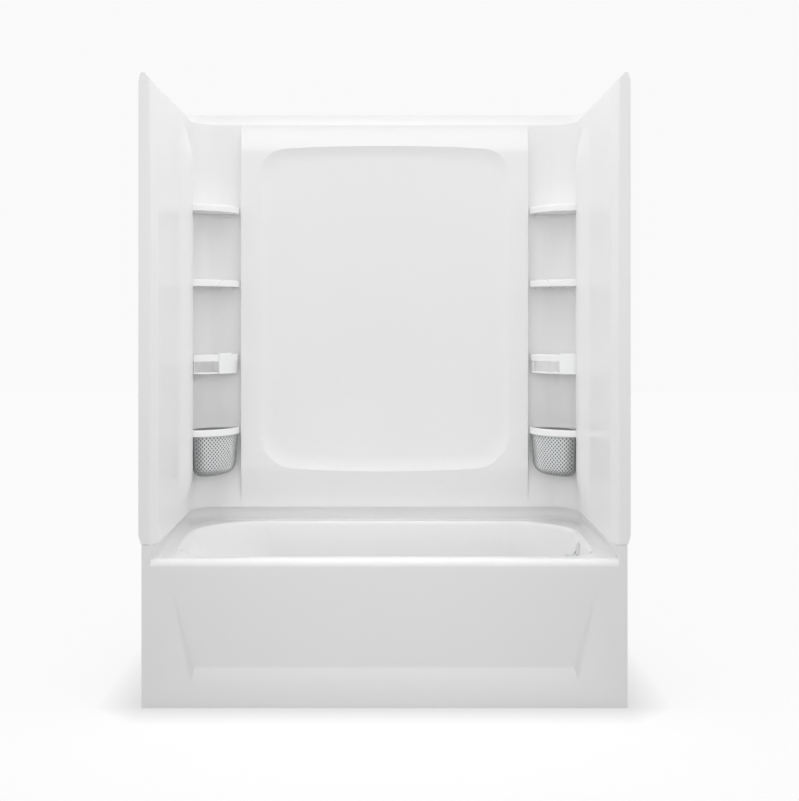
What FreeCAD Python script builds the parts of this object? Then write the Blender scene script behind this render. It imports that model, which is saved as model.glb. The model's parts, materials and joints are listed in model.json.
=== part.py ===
import FreeCAD, Part
import math
import os
from FreeCAD import Vector

# Every length is in millimetres. X runs to the right, Y to the back and Z up.
# The origin is at the middle of the footprint, on the floor.

# The alcove that the unit fills
alcove_width = 1524.0
alcove_depth = 762.0
half_width = alcove_width / 2
front = -alcove_depth / 2
back = alcove_depth / 2

# Small gaps and reaches that the whole unit shares
overrun = 5.0
seat_gap = 0.3
running_gap = 0.05
edge_soft = 2.0
long_reach = 190.0
short_reach = 95.0
upright_least = 0.9

# The bath's apron, deck and raised rim
bath_wall = 5.0
deck_height = 465.0
nosing_radius = 24.0
rim_inset = 27.0
rim_rise = 45.0
cove_radius = 28.0
cove_shares = (0.0, 0.1, 0.3, 0.6, 1.0)
rim_corner_radius = 118.0
tile_flange_rise = 30.0
tile_flange_setback = 14.0
apron_return = 38.0
apron_foot_lip = 24.0

# The pressed panel in the apron
panel_top = deck_height - 65.0
panel_crease = 124.0
panel_foot = 75.0
panel_depth = 14.0
panel_top_half = half_width - 90.0
panel_foot_half = half_width - 152.0
panel_crease_half = half_width - 166.0
panel_softness = 22.0

# The basin
floor_height = 105.0
floor_fall = 10.0
basin_lip_radius = 14.0
basin_foot_radius = 75.0
rim_left = 77.0 - half_width
rim_right = half_width - 84.0
rim_front = front + 60.0
rim_back = front + 676.0
floor_left = 312.0 - half_width
floor_right = half_width - 170.0
floor_front = front + 116.0
floor_back = front + 622.0
rim_end_bows = {"left": 30.0, "right": 4.0}
floor_end_bow = 14.0
rim_front_corners = {"left": 160.0, "right": 110.0}
rim_back_corner = 225.0
floor_front_corner = 118.0
floor_back_corner = 150.0
foot_arc_shares = (0.0, 0.04, 0.14, 0.32, 0.58, 1.0)
wall_rise_shares = (0.33, 0.67)
lip_arc_shares = (1.0, 0.6, 0.32, 0.12, 0.03, 0.0)

# The foam pad that carries the basin floor
pad_left = 362.0 - half_width
pad_right = half_width - 342.0
pad_front = front + 170.0
pad_back = front + 570.0
pad_edge = 12.0

# The wall panels
skin = 4.0
wall_inset = 46.0
unit_height = 1994.0
nailing_flange_height = 44.0
foot_gap = 3.0
wall_flange_plane = half_width - 4.0
wall_flange_corner = 45.0
front_flange_half = half_width + 10.0
front_flange_inner = half_width - 26.0
front_flange_bead = 40.0
bead_radius = 12.0
flange_chamfer_width = 8.0
flange_chamfer_height = 27.0
ramp_start = front + 372.0
ramp_lead = 20.0
bulge_depth = 25.0
tower_reach = 176.0
tower_edge_radius = 5.0
tower_root_radius = 5.0
seam_gap = 1.5
joint_flange_reach = half_width - 7.0
corner_arc_share = 0.9
ramp_pull_share = 0.333
flare_foot_lead = 7.0
flare_foot_rise = 155.0
end_flare_margin = 15.0
end_flare_rise = 150.0
back_flare_excess = 10.0
back_flare_rise = 120.0
least_bulge_share = 0.05
flare_shares = (0.2, 0.4, 0.6, 0.8)

# The dished panel in the back wall
dish_side_margin = 68.0
dish_foot_margin = 131.0
dish_top_margin = 70.0
dish_foot_bow = 26.0
dish_top_bow = 28.0
dish_foot_corner = 150.0
dish_top_corner = 120.0
dish_depth = 11.0
dish_slope = 60.0
dish_slope_shares = (1.0, 0.72, 0.45, 0.2, 0.0)

# The spring clips that pinch the two wall seams from behind
clip_metal = 1.2
clip_length = 40.0
clip_grip = 14.0
clip_shares = (0.075, 0.346, 0.617, 0.888)

# The accessories of the two corner towers
shelf_levels = 4
high_rim_margin = 313.0
low_rim_rise = 303.5
rim_height = 24.5
niche_clearance = 1.0
rim_front_gap = 1.5
least_chamfer = 8.0
least_side = 4.0
shelf_floor = 4.0
shelf_lip_width = 9.0
shelf_edge_radius = 3.0
boss_start = 100.0
boss_end = 146.0
boss_reach = 9.0
boss_height = 10.0
razor_slot_width = 8.0
razor_slot_depth = 13.0
razor_slot_lean = 40.0

# The open tray with its clip-on cup
tray_height = 70.0
tray_lip_height = 6.5
tray_wall = 3.0
tray_rim_width = 10.0
tray_rim_setback = 3.8
tray_body_inset = 11.0
tray_body_setback = 7.0
tray_taper = 2.0
left_window_start = 30.5
left_window_end = 80.0
right_window_start = 10.0
right_window_end = 64.0
cup_plate = 3.2
cup_bridge = 5.0
cup_span = 19.5
cup_inner_span = 14.6
cup_depth = 34.0
cup_wall = 2.5
cup_drop = 66.0
left_cup_turn = 39.6
right_cup_turn = 72.4

# The perforated basket
basket_drop = 152.0
basket_wall = 2.5
basket_inset = 11.0
basket_setback = 4.0
basket_taper = 9.5
basket_foot_radius = 44.0
basket_border = 13.0
collar_wall = 2.0
collar_margin = 3.0
mesh_hole = 11.0
mesh_overcut = 10.0
mesh_columns = 10
mesh_rows = 7
mesh_start = 12.5
mesh_end = 77.5
basket_foot_shares = (0.0, 0.08, 0.3, 0.6, 1.0)

# The waste and overflow
drain_x = half_width - 262.0
drain_y = front + 369.0
overflow_height = deck_height - 60.0
drain_hole_radius = 26.0
drain_seat_radius = 42.0
drain_seat_depth = 2.5
drain_pad_radius = 48.0
drain_pad_depth = 4.0
overflow_hole_radius = 31.0
overflow_seat_radius = 43.0
overflow_seat_depth = 1.5
overflow_pad_radius = 50.0
overflow_pad_depth = 3.0
pipe_radius = 19.05
pipe_wall = 1.2
plate_radius = 38.0
plate_edge = 3.0
plate_dome = 4.0
plate_metal = 2.0
screw_offset = 23.0
screw_radius = 2.4
screw_head_radius = 4.5
screw_head_height = 2.6
lug_length = 14.0
gasket_radius = 36.0
gasket_least = 3.0
elbow_flange = 4.0
elbow_bore = 17.0
elbow_wall = 3.0
elbow_reach = 24.0
elbow_drop = 54.0
lever_radius = 3.4
lever_knob_radius = 4.6
lever_reach = 30.0
lever_swing = 15.0
lever_pivot_set = 9.0
lever_hub_radius = 5.0
lever_hub_half = 4.0
lever_tine = 2.0
lever_tine_gap = 1.5
lever_arm_half = 3.4
lever_pin_radius = 1.6
lever_pin_half = 7.0
bracket_thickness = 2.0
bracket_half_height = 6.0
rod_radius = 1.6
rod_eye_half = 1.2
rod_eye_height = 4.6
rod_eye_length = 6.5
rod_neck_length = 14.0
rod_slot_height = 2.1
rod_slot_length = 4.2
rod_nut_radius = 4.5
rod_nut_height = 4.0
plunger_radius = 15.0
plunger_wall = 3.0
plunger_height = 34.0
plunger_cap = 3.0
tee_wall = 3.0
tee_foot = 34.0
tee_top = 112.0
branch_height = 68.0
tube_overlap = 14.0
nut_wall = 4.0
nut_height = 16.0
nut_lip = 2.5
washer_height = 4.0
nut_sides = 8
shoe_wall = 3.0
shoe_flange_radius = 33.0
shoe_flange = 4.0
shoe_gasket = 3.0
flange_radius = 36.5
flange_thickness = 2.4
thread_radius = 23.0
thread_wall = 2.5
cross_bar = 4.0
strainer_radius = 27.0
strainer_dome = 2.5
strainer_thickness = 1.6
strainer_hole = 3.2
strainer_ring = 17.0
strainer_count = 8
tailpiece_foot = 2.0
depth_mark_height = 22.0
depth_mark_width = 1.5
depth_mark_depth = 0.5

tile_flange_top = deck_height + rim_rise + tile_flange_rise
ledge_top = deck_height + rim_rise
wall_foot = ledge_top + foot_gap
ledge_height = unit_height - nailing_flange_height
niche_x = half_width - wall_inset
niche_y = back - wall_inset
seam_y = niche_y - tower_reach
tower_x = niche_x - tower_reach
flare_foot_start = wall_foot + flare_foot_lead
end_flare_top = ledge_height - end_flare_margin
back_flare_top = ledge_height + back_flare_excess
dish_half_width = tower_x - dish_side_margin
dish_foot = wall_foot + dish_foot_margin
dish_top = ledge_height - dish_top_margin
highest_rim = ledge_height - high_rim_margin
lowest_rim = wall_foot + low_rim_rise
front_reach = tower_reach - rim_front_gap
corner_span = tower_reach - bulge_depth - rim_front_gap
niche_corner_radius = rim_corner_radius + rim_inset - wall_inset
shelf_pitch = (highest_rim - lowest_rim) / (shelf_levels - 1)
rim_tops = [highest_rim - level * shelf_pitch for level in range(shelf_levels)]
pipe_bore = pipe_radius - pipe_wall


# Plain helpers

def block(x_low, x_high, y_low, y_high, z_low, z_high):
    """A box between two corners"""
    size = (x_high - x_low, y_high - y_low, z_high - z_low)
    return Part.makeBox(size[0], size[1], size[2], Vector(x_low, y_low, z_low))


def rod(radius, start, direction, length):
    """A round bar from a start point along a direction"""
    return Part.makeCylinder(radius, length, start, direction)


def pipe(outer, bore, start, direction, length):
    """A round tube, open at both ends"""
    unit = Vector(direction).normalize()
    hole_start = start - unit * overrun
    return rod(outer, start, unit, length).cut(rod(bore, hole_start, unit, length + 2 * overrun))


def mirrored(shape):
    """The same shape on the other side of the unit's middle"""
    return shape.mirror(Vector(0, 0, 0), Vector(1, 0, 0))


def joined(shapes):
    """One solid from several that touch"""
    whole = shapes[0].fuse(shapes[1:])
    return whole.removeSplitter()


def save(name, shape):
    """Write a sub-part to its own file and report what it is"""
    os.makedirs("parts", exist_ok=True)
    shape.exportStep("parts/" + name + ".step")
    state = "valid" if shape.isValid() else "NOT VALID"
    print(name, state, len(shape.Solids), "solids", round(shape.Volume / 1000.0, 1), "cm3")


def arc(start, middle, end):
    """An arc through three points"""
    return Part.Arc(start, middle, end).toShape()


def line(start, end):
    """A straight edge"""
    return Part.LineSegment(start, end).toShape()


def prism(edges, rise):
    """A closed outline raised to a solid"""
    return Part.Face(Part.Wire(edges)).extrude(Vector(0, 0, rise))


# Open plan lines with rounded corners, for the wall panels

def set_back(points, distance, eased):
    """The open line moved to its left; an eased run starts and ends along Y"""
    directions = []
    for index in range(len(points) - 1):
        run = points[index + 1] - points[index]
        if index in eased:
            run = Vector(0, run.y, 0)
        directions.append(run.normalize())
    moved = []
    for index, point in enumerate(points):
        before = directions[max(index - 1, 0)]
        after = directions[min(index, len(directions) - 1)]
        normals = Vector(-before.y - after.y, before.x + after.x, 0)
        moved.append(point + normals * (distance / (1 + before.dot(after))))
    return moved


def corner_reaches(points, radii):
    """How far along its two runs each corner's arc reaches, cut down where two arcs would meet"""
    wanted = [0.0] * len(points)
    for index in range(1, len(points) - 1):
        before = points[index] - points[index - 1]
        after = points[index + 1] - points[index]
        wanted[index] = radii[index] * math.tan(before.getAngle(after) / 2)
    reaches = list(wanted)
    for index in range(len(points) - 1):
        room = (points[index + 1] - points[index]).Length * corner_arc_share
        both = wanted[index] + wanted[index + 1]
        if both > room:
            reaches[index] = min(reaches[index], wanted[index] * room / both)
            reaches[index + 1] = min(reaches[index + 1], wanted[index + 1] * room / both)
    return reaches


def trace(points, radii, eased):
    """Edges along the points, with an arc at each corner that has a radius"""
    edges = []
    reaches = corner_reaches(points, radii)
    start = points[0]
    for index in range(1, len(points)):
        corner = points[index]
        leave = corner
        reach = reaches[index]
        if reach:
            before = (points[index - 1] - corner).normalize()
            after = (points[index + 1] - corner).normalize()
            enter = corner + before * reach
            leave = corner + after * reach
        else:
            enter = corner
        if index - 1 in eased:
            pull = Vector(0, (enter.y - start.y) * ramp_pull_share, 0)
            curve = Part.BezierCurve()
            curve.setPoles([start, start + pull, enter - pull, enter])
            edges.append(curve.toShape())
        else:
            edges.append(line(start, enter))
        if reach:
            middle_way = (before + after).normalize()
            half_turn = before.getAngle(after) / 2
            true_radius = reach * math.tan(half_turn)
            middle = corner + middle_way * (reach / math.cos(half_turn) - true_radius)
            edges.append(arc(enter, middle, leave))
        start = leave
    return edges


def turned_radii(points, radii, distance):
    """Corner radii of the set-back line: smaller round a left turn, larger round a right one"""
    moved = list(radii)
    for index in range(1, len(points) - 1):
        before = points[index] - points[index - 1]
        after = points[index + 1] - points[index]
        left_turn = before.cross(after).z > 0
        if radii[index]:
            moved[index] = radii[index] - distance if left_turn else radii[index] + distance
    return moved


def skin_wire(points, radii, eased, height):
    """The closed outline of a thin panel whose face follows the points"""
    raised = [Vector(point.x, point.y, height) for point in points]
    behind = set_back(raised, skin, eased)
    face = trace(raised, radii, eased)
    rear = trace(behind, turned_radii(raised, radii, skin), eased)
    ends = [line(raised[-1], behind[-1]), line(behind[0], raised[0])]
    rear_reversed = [edge.reversed() for edge in reversed(rear)]
    return Part.Wire(face + [ends[0]] + rear_reversed + [ends[1]])


# The U-shaped outline that the bath's rim, its flange and the wall foot all follow

def alcove_outline(inset, height, open_front=front - overrun):
    """Two sides and a back with round corners, set in from the alcove's walls"""
    x = half_width - inset
    y = back - inset
    radius = rim_corner_radius + rim_inset - inset
    lean = radius * (1 - math.sqrt(0.5))
    corners = [Vector(-x, open_front, height), Vector(x, open_front, height)]
    right_start = Vector(x, y - radius, height)
    right_end = Vector(x - radius, y, height)
    left_start = Vector(radius - x, y, height)
    left_end = Vector(-x, y - radius, height)
    return [
        line(corners[0], corners[1]),
        line(corners[1], right_start),
        arc(right_start, Vector(x - lean, y - lean, height), right_end),
        line(right_end, left_start),
        arc(left_start, Vector(lean - x, y - lean, height), left_end),
        line(left_end, corners[0]),
    ]


def alcove_prism(inset, z_low, z_high, open_front=front - overrun):
    """The alcove outline raised between two heights"""
    return prism(alcove_outline(inset, z_low, open_front), z_high - z_low)


# The basin's sections

def side_place(rim_place, floor_place, height, offset):
    """Where one basin side stands at a height over the floor, with its round foot and lip"""
    depth = deck_height - floor_height
    outward = 1 if rim_place > floor_place else -1
    lean = math.atan(abs(rim_place - floor_place) / depth)
    foot = basin_foot_radius + offset
    above = height + offset
    wall_line = abs(rim_place - floor_place) * height / depth + offset / math.cos(lean)
    if above < foot * (1 - math.sin(lean)):
        foot_line = (offset / math.cos(lean)) - offset * math.tan(lean)
        tangent = foot * (1 - math.sin(lean)) / math.cos(lean)
        wall_line = foot_line - tangent + math.sqrt(max(foot ** 2 - (foot - above) ** 2, 0))
    below = depth - height
    if offset == 0 and below < basin_lip_radius * (1 - math.sin(lean)):
        tangent = basin_lip_radius / math.tan((math.pi / 2 + lean) / 2)
        bend = math.sqrt(basin_lip_radius ** 2 - (basin_lip_radius - below) ** 2)
        wall_line = abs(rim_place - floor_place) + tangent - bend
    return floor_place + outward * wall_line


def end_arc_radius(half_depth, bow):
    """Radius of the bowed end of a basin section"""
    return (half_depth ** 2 + bow ** 2) / (2 * bow)


def basin_wire(height, offset):
    """One closed section of the basin at a height over its floor"""
    share = min(max(height / (deck_height - floor_height), 0), 1)
    x_left = side_place(rim_left, floor_left, height, offset)
    x_right = side_place(rim_right, floor_right, height, offset)
    y_front = side_place(rim_front, floor_front, height, offset)
    y_back = side_place(rim_back, floor_back, height, offset)
    back_corner = floor_back_corner + (rim_back_corner - floor_back_corner) * share + offset
    y_middle = (y_front + y_back) / 2
    z = floor_height + height
    points = {}
    for name, side, x_end in (("left", -1, x_left), ("right", 1, x_right)):
        bow = floor_end_bow + (rim_end_bows[name] - floor_end_bow) * share
        end_radius = end_arc_radius((y_back - y_front) / 2, bow)
        corner_growth = (rim_front_corners[name] - floor_front_corner) * share
        front_corner = floor_front_corner + corner_growth + offset
        x_centre = x_end - side * end_radius
        for place, radius in (("front", front_corner), ("back", back_corner)):
            inward = 1 if place == "front" else -1
            y_edge = y_front if place == "front" else y_back
            y_corner = y_edge + inward * radius
            reach = math.sqrt((end_radius - radius) ** 2 - (y_corner - y_middle) ** 2)
            x_corner = x_centre + side * reach
            way = Vector(x_corner - x_centre, y_corner - y_middle, 0).normalize()
            touch = Vector(x_corner, y_corner, z) + way * radius
            middle = (way + Vector(0, -inward, 0)).normalize()
            points[name, place, "edge"] = Vector(x_corner, y_edge, z)
            points[name, place, "middle"] = Vector(x_corner, y_corner, z) + middle * radius
            points[name, place, "end"] = touch
        points[name, "tip"] = Vector(x_end, y_middle, z)
    edges = [
        line(points["left", "front", "edge"], points["right", "front", "edge"]),
        arc(points["right", "front", "edge"], points["right", "front", "middle"],
            points["right", "front", "end"]),
        arc(points["right", "front", "end"], points["right", "tip"],
            points["right", "back", "end"]),
        arc(points["right", "back", "end"], points["right", "back", "middle"],
            points["right", "back", "edge"]),
        line(points["right", "back", "edge"], points["left", "back", "edge"]),
        arc(points["left", "back", "edge"], points["left", "back", "middle"],
            points["left", "back", "end"]),
        arc(points["left", "back", "end"], points["left", "tip"],
            points["left", "front", "end"]),
        arc(points["left", "front", "end"], points["left", "front", "middle"],
            points["left", "front", "edge"]),
    ]
    wire = Part.Wire(edges)
    fall_angle = math.degrees(math.atan(floor_fall / (drain_x - floor_left)))
    wire.rotate(Vector(drain_x, 0, z), Vector(0, 1, 0), fall_angle * (1 - share) ** 2)
    return wire


def basin_solid(offset):
    """The basin's space, or the larger space that its outside fills"""
    depth = deck_height - floor_height
    foot_top = basin_foot_radius
    lip_foot = depth - basin_lip_radius
    heights = [share * (foot_top + offset) - offset for share in foot_arc_shares]
    heights += [foot_top + share * (lip_foot - foot_top) for share in wall_rise_shares]
    if offset:
        heights.append(depth - bath_wall / 2)
    else:
        heights += [depth - share * basin_lip_radius for share in lip_arc_shares]
    wires = [basin_wire(height, offset) for height in heights]
    return Part.makeLoft(wires, True, True)


# The bath

def panel_wedge(shift):
    """The wedge-shaped hollow of the apron panel, moved back by a shift"""
    y_face = front + shift
    y_deep = y_face + panel_depth
    foot_left = Vector(-panel_foot_half, y_face, panel_foot)
    foot_right = Vector(panel_foot_half, y_face, panel_foot)
    top_left = Vector(-panel_top_half, y_face, panel_top)
    top_right = Vector(panel_top_half, y_face, panel_top)
    deep_left = Vector(-panel_crease_half, y_deep, panel_crease)
    deep_right = Vector(panel_crease_half, y_deep, panel_crease)
    outlines = [
        [foot_left, foot_right, top_right, top_left],
        [deep_left, deep_right, top_right, top_left],
        [foot_left, foot_right, deep_right, deep_left],
        [foot_left, deep_left, top_left],
        [foot_right, deep_right, top_right],
    ]
    faces = [Part.Face(Part.makePolygon(points + points[:1])) for points in outlines]
    wedge = Part.Solid(Part.makeShell(faces))
    if wedge.Volume < 0:
        wedge.reverse()
    soft = []
    for edge in wedge.Edges:
        ends = [vertex.Point for vertex in edge.Vertexes]
        deep_ends = [point for point in ends if abs(point.y - y_deep) < running_gap]
        if deep_ends:
            soft.append(edge)
    lengthwise = [edge for edge in soft if edge.Length > panel_crease_half]
    return wedge.makeFillet(panel_softness, lengthwise)


def nosing():
    """The rounded front edge between the apron and the deck"""
    y_deep = front + nosing_radius
    z_low = deck_height - nosing_radius
    inner = nosing_radius - bath_wall
    x = -(half_width - rim_inset)
    centre = Vector(x, y_deep, z_low)
    outer_middle = centre + Vector(0, -nosing_radius, nosing_radius) * math.sqrt(0.5)
    inner_middle = centre + Vector(0, -inner, inner) * math.sqrt(0.5)
    outer_low = Vector(x, front, z_low)
    outer_high = Vector(x, y_deep, deck_height)
    inner_high = Vector(x, y_deep, deck_height - bath_wall)
    inner_low = Vector(x, front + bath_wall, z_low)
    edges = [
        arc(outer_low, outer_middle, outer_high),
        line(outer_high, inner_high),
        arc(inner_high, inner_middle, inner_low),
        line(inner_low, outer_low),
    ]
    return Part.Face(Part.Wire(edges)).extrude(Vector(-2 * x, 0, 0))


def rim_pocket():
    """The space over the deck, with its cove up to the raised rim"""
    y_nosing = front + nosing_radius
    wires = []
    for share in cove_shares:
        rise = share * cove_radius
        lean = cove_radius - math.sqrt(cove_radius ** 2 - (cove_radius - rise) ** 2)
        wires.append(Part.Wire(alcove_outline(rim_inset + lean, deck_height + rise, y_nosing)))
    cove = Part.makeLoft(wires, True, False)
    above = alcove_prism(rim_inset, deck_height + cove_radius, tile_flange_top + overrun, y_nosing)
    x = half_width - rim_inset
    z_low = deck_height - nosing_radius
    ahead = block(-x, x, front - overrun, y_nosing, z_low, tile_flange_top + overrun)
    return [cove, above, ahead]


def apron():
    """The front skin with its pressed panel, foot lip and side returns"""
    skin_back = front + bath_wall
    low = block(-half_width, half_width, front, skin_back, 0, deck_height - nosing_radius)
    lip = block(-half_width, half_width, front, front + apron_foot_lip, 0, bath_wall)
    pieces = [low, lip, panel_wedge(bath_wall), nosing()]
    column_inner = rim_inset - half_width
    column = block(-half_width, column_inner, front, skin_back,
                   deck_height - nosing_radius, ledge_top)
    side_return = block(-half_width, bath_wall - half_width, front, front + apron_return,
                        0, ledge_top)
    pieces += [column, mirrored(column), side_return, mirrored(side_return)]
    return joined(pieces).cut(panel_wedge(0))


def overflow_frame():
    """A point on the overflow end's inner face and the direction out through the wall"""
    height = overflow_height - floor_height
    x = side_place(rim_right, floor_right, height, 0)
    lean = math.atan((rim_right - floor_right) / (deck_height - floor_height))
    return Vector(x, drain_y, overflow_height), Vector(math.cos(lean), 0, -math.sin(lean)), lean


def bath_shell():
    """The moulded bath: apron, deck, raised rim, tile flange and basin in one piece"""
    deck_under = deck_height - bath_wall
    tray = alcove_prism(rim_inset - bath_wall, deck_under, ledge_top, front)
    ledge = alcove_prism(0, ledge_top - bath_wall, ledge_top, front)
    flange_start = front + tile_flange_setback
    flange = alcove_prism(0, ledge_top - bath_wall, tile_flange_top, flange_start)
    flange = flange.cut(alcove_prism(bath_wall, 0, tile_flange_top + overrun, front - overrun))
    shell = joined([tray, ledge, flange])
    for space in rim_pocket():
        shell = shell.cut(space)
    pad = rod(drain_pad_radius, Vector(drain_x, drain_y, floor_height - bath_wall - drain_pad_depth),
              Vector(0, 0, 1), bath_wall + drain_pad_depth)
    spot, outward, lean = overflow_frame()
    boss = rod(overflow_pad_radius, spot, outward, bath_wall + overflow_pad_depth)
    shell = shell.fuse([apron(), basin_solid(bath_wall), pad, boss])
    shell = shell.cut(basin_solid(0))
    seat = rod(drain_seat_radius, Vector(drain_x, drain_y, floor_height - drain_seat_depth),
               Vector(0, 0, 1), basin_foot_radius)
    hole = rod(drain_hole_radius, Vector(drain_x, drain_y, 0), Vector(0, 0, 1), floor_height)
    face = rod(overflow_seat_radius, spot + outward * overflow_seat_depth, -outward, long_reach)
    way = rod(overflow_hole_radius, spot - outward * nosing_radius, outward, short_reach)
    shell = shell.cut([seat, hole, face, way])
    return shell


def support_pad():
    """The foam pad bonded under the basin floor"""
    pad = block(pad_left, pad_right, pad_front, pad_back, 0, floor_height + basin_foot_radius)
    upright = [edge for edge in pad.Edges if abs(edge.tangentAt(0).z) > upright_least]
    pad = pad.makeFillet(pad_edge, upright)
    room = basin_solid(bath_wall)
    room.translate(Vector(0, 0, -seat_gap))
    pad = pad.cut(room)
    return sorted(pad.Solids, key=lambda solid: solid.CenterOfMass.z)[0]


# The wall panels

def ease(share):
    """A soft step from nought to one"""
    share = min(max(share, 0), 1)
    return share * share * (3 - 2 * share)


def bulge(height, flare):
    """How far a tower edge stands proud at a height, for a flare's top and its rise"""
    foot = ease((height - flare_foot_start) / flare_foot_rise)
    top = ease((flare[0] - height) / flare[1])
    return bulge_depth * max(min(foot, top), least_bulge_share)


def flare_heights(flare):
    """The heights of the sections through a wall's foot flare and through its top flare"""
    foot = [wall_foot, flare_foot_start]
    foot += [flare_foot_start + share * flare_foot_rise for share in flare_shares]
    foot.append(flare_foot_start + flare_foot_rise)
    top_start = flare[0] - flare[1]
    top = [top_start]
    top += [top_start + share * flare[1] for share in flare_shares]
    top.append(flare[0])
    top = [height for height in top if height < ledge_height]
    top.append(ledge_height)
    return foot, top


def wall_panel(line_at, radii, eased, flare):
    """A wall's face panel: a flared foot, a straight middle and a flared top"""
    foot, top = flare_heights(flare)
    parts = []
    for heights in (foot, top):
        wires = [skin_wire(line_at(bulge(height, flare)), radii, eased, height)
                 for height in heights]
        parts.append(Part.makeLoft(wires, True, False))
    middle = Part.Face(skin_wire(line_at(bulge_depth), radii, eased, foot[-1]))
    parts.append(middle.extrude(Vector(0, 0, top[0] - foot[-1])))
    return joined(parts)


def end_wall_line(proud):
    """The left end wall's face in plan, from its front flange to its joint flange"""
    return [
        Vector(-front_flange_half, front, 0),
        Vector(-front_flange_inner, front, 0),
        Vector(-niche_x, front + front_flange_bead, 0),
        Vector(-niche_x, ramp_start, 0),
        Vector(proud - niche_x, seam_y - ramp_lead, 0),
        Vector(proud - niche_x, seam_y, 0),
        Vector(-joint_flange_reach, seam_y, 0),
    ]


end_wall_radii = (0, bead_radius, bead_radius, 0, 0, tower_edge_radius, 0)
end_wall_eased = (3,)


def end_wall_lid(z_low, z_high, outer):
    """A flat plate between the end wall's face line and an outer plane"""
    face = set_back(end_wall_line(bulge_depth * least_bulge_share), skin / 2, end_wall_eased)
    points = [Vector(-outer, front + skin / 2, z_low)]
    points += [Vector(point.x, point.y, z_low) for point in face[1:-1]]
    points.append(Vector(-outer, seam_y - skin / 2, z_low))
    plate = Part.Face(Part.makePolygon(points + points[:1]))
    return plate.extrude(Vector(0, 0, z_high - z_low))


def left_end_wall():
    """The left end wall: face panel, foot and top plates, nailing flange and front flange"""
    flare = (end_flare_top, end_flare_rise)
    panel = wall_panel(end_wall_line, end_wall_radii, end_wall_eased, flare)
    foot = end_wall_lid(wall_foot, wall_foot + skin, joint_flange_reach)
    ledge = end_wall_lid(ledge_height - skin, ledge_height, wall_flange_plane)
    flange = block(-wall_flange_plane, skin - wall_flange_plane, front, seam_y,
                   ledge_height - skin, unit_height)
    peak_points = [Vector(point.x, point.y, 0) for point in end_wall_line(0)[:3]]
    peak_radii = (0, bead_radius, 0)
    peak = Part.Face(skin_wire(peak_points, peak_radii, (), ledge_height - skin))
    peak = peak.extrude(Vector(0, 0, unit_height - ledge_height + skin))
    wall = joined([panel, foot, ledge, flange, peak])
    return wall.cut(end_wall_trims())


def end_wall_trims():
    """The slope of the front peak and the small chamfers of the front flange's outer edge"""
    y_low = front - overrun
    y_high = front + front_flange_bead + overrun
    peak = [
        Vector(skin - wall_flange_plane, y_low, unit_height),
        Vector(-niche_x, y_low, ledge_height),
        Vector(overrun - niche_x, y_low, ledge_height),
        Vector(overrun - niche_x, y_low, unit_height + overrun),
        Vector(skin - wall_flange_plane, y_low, unit_height + overrun),
    ]
    outer = -front_flange_half
    inner = flange_chamfer_width - front_flange_half
    top = [
        Vector(outer - overrun, y_low, unit_height - flange_chamfer_height),
        Vector(outer, y_low, unit_height - flange_chamfer_height),
        Vector(inner, y_low, unit_height),
        Vector(inner, y_low, unit_height + overrun),
        Vector(outer - overrun, y_low, unit_height + overrun),
    ]
    foot = [
        Vector(outer - overrun, y_low, wall_foot + flange_chamfer_height),
        Vector(outer, y_low, wall_foot + flange_chamfer_height),
        Vector(inner, y_low, wall_foot),
        Vector(inner, y_low, wall_foot - overrun),
        Vector(outer - overrun, y_low, wall_foot - overrun),
    ]
    trims = []
    for points in (peak, top, foot):
        face = Part.Face(Part.makePolygon(points + points[:1]))
        trims.append(face.extrude(Vector(0, y_high - y_low, 0)))
    return trims


def back_wall_line(proud):
    """The back wall's face in plan, from its left joint flange round both towers to its right"""
    y_start = seam_y + seam_gap
    return [
        Vector(-joint_flange_reach, y_start, 0),
        Vector(-niche_x, y_start, 0),
        Vector(-niche_x, niche_y, 0),
        Vector(-tower_x, niche_y, 0),
        Vector(-tower_x, niche_y - proud, 0),
        Vector(tower_x, niche_y - proud, 0),
        Vector(tower_x, niche_y, 0),
        Vector(niche_x, niche_y, 0),
        Vector(niche_x, y_start, 0),
        Vector(joint_flange_reach, y_start, 0),
    ]


back_wall_radii = (
    0, tower_root_radius, niche_corner_radius, tower_root_radius, tower_edge_radius,
    tower_edge_radius, tower_root_radius, niche_corner_radius, tower_root_radius, 0,
)


def dish_wire(inset, y):
    """The dish's outline: bowed top and foot, round corners, drawn in by an inset"""
    x = dish_half_width - inset
    low = dish_foot + inset
    high = dish_top - inset
    corners = []
    for z_edge, bow, corner, up in ((low, dish_foot_bow, dish_foot_corner, 1),
                                    (high, dish_top_bow, dish_top_corner, -1)):
        radius = end_arc_radius(x, bow)
        z_centre = z_edge + up * radius
        corner = corner - inset
        reach = math.sqrt((radius - corner) ** 2 - (x - corner) ** 2)
        z_corner = z_centre - up * reach
        way = Vector(x - corner, 0, z_corner - z_centre).normalize()
        centre = Vector(x - corner, y, z_corner)
        touch = centre + way * corner
        middle = centre + (way + Vector(1, 0, 0)).normalize() * corner
        corners.append((touch, middle, Vector(x, y, z_corner), Vector(0, y, z_edge)))
    low_touch, low_middle, low_side, low_tip = corners[0]
    high_touch, high_middle, high_side, high_tip = corners[1]

    def left(point):
        return Vector(-point.x, point.y, point.z)

    return Part.Wire([
        arc(left(low_touch), low_tip, low_touch),
        arc(low_touch, low_middle, low_side),
        line(low_side, high_side),
        arc(high_side, high_middle, high_touch),
        arc(high_touch, high_tip, left(high_touch)),
        arc(left(high_touch), left(high_middle), left(high_side)),
        line(left(high_side), left(low_side)),
        arc(left(low_side), left(low_middle), left(low_touch)),
    ])


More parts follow.
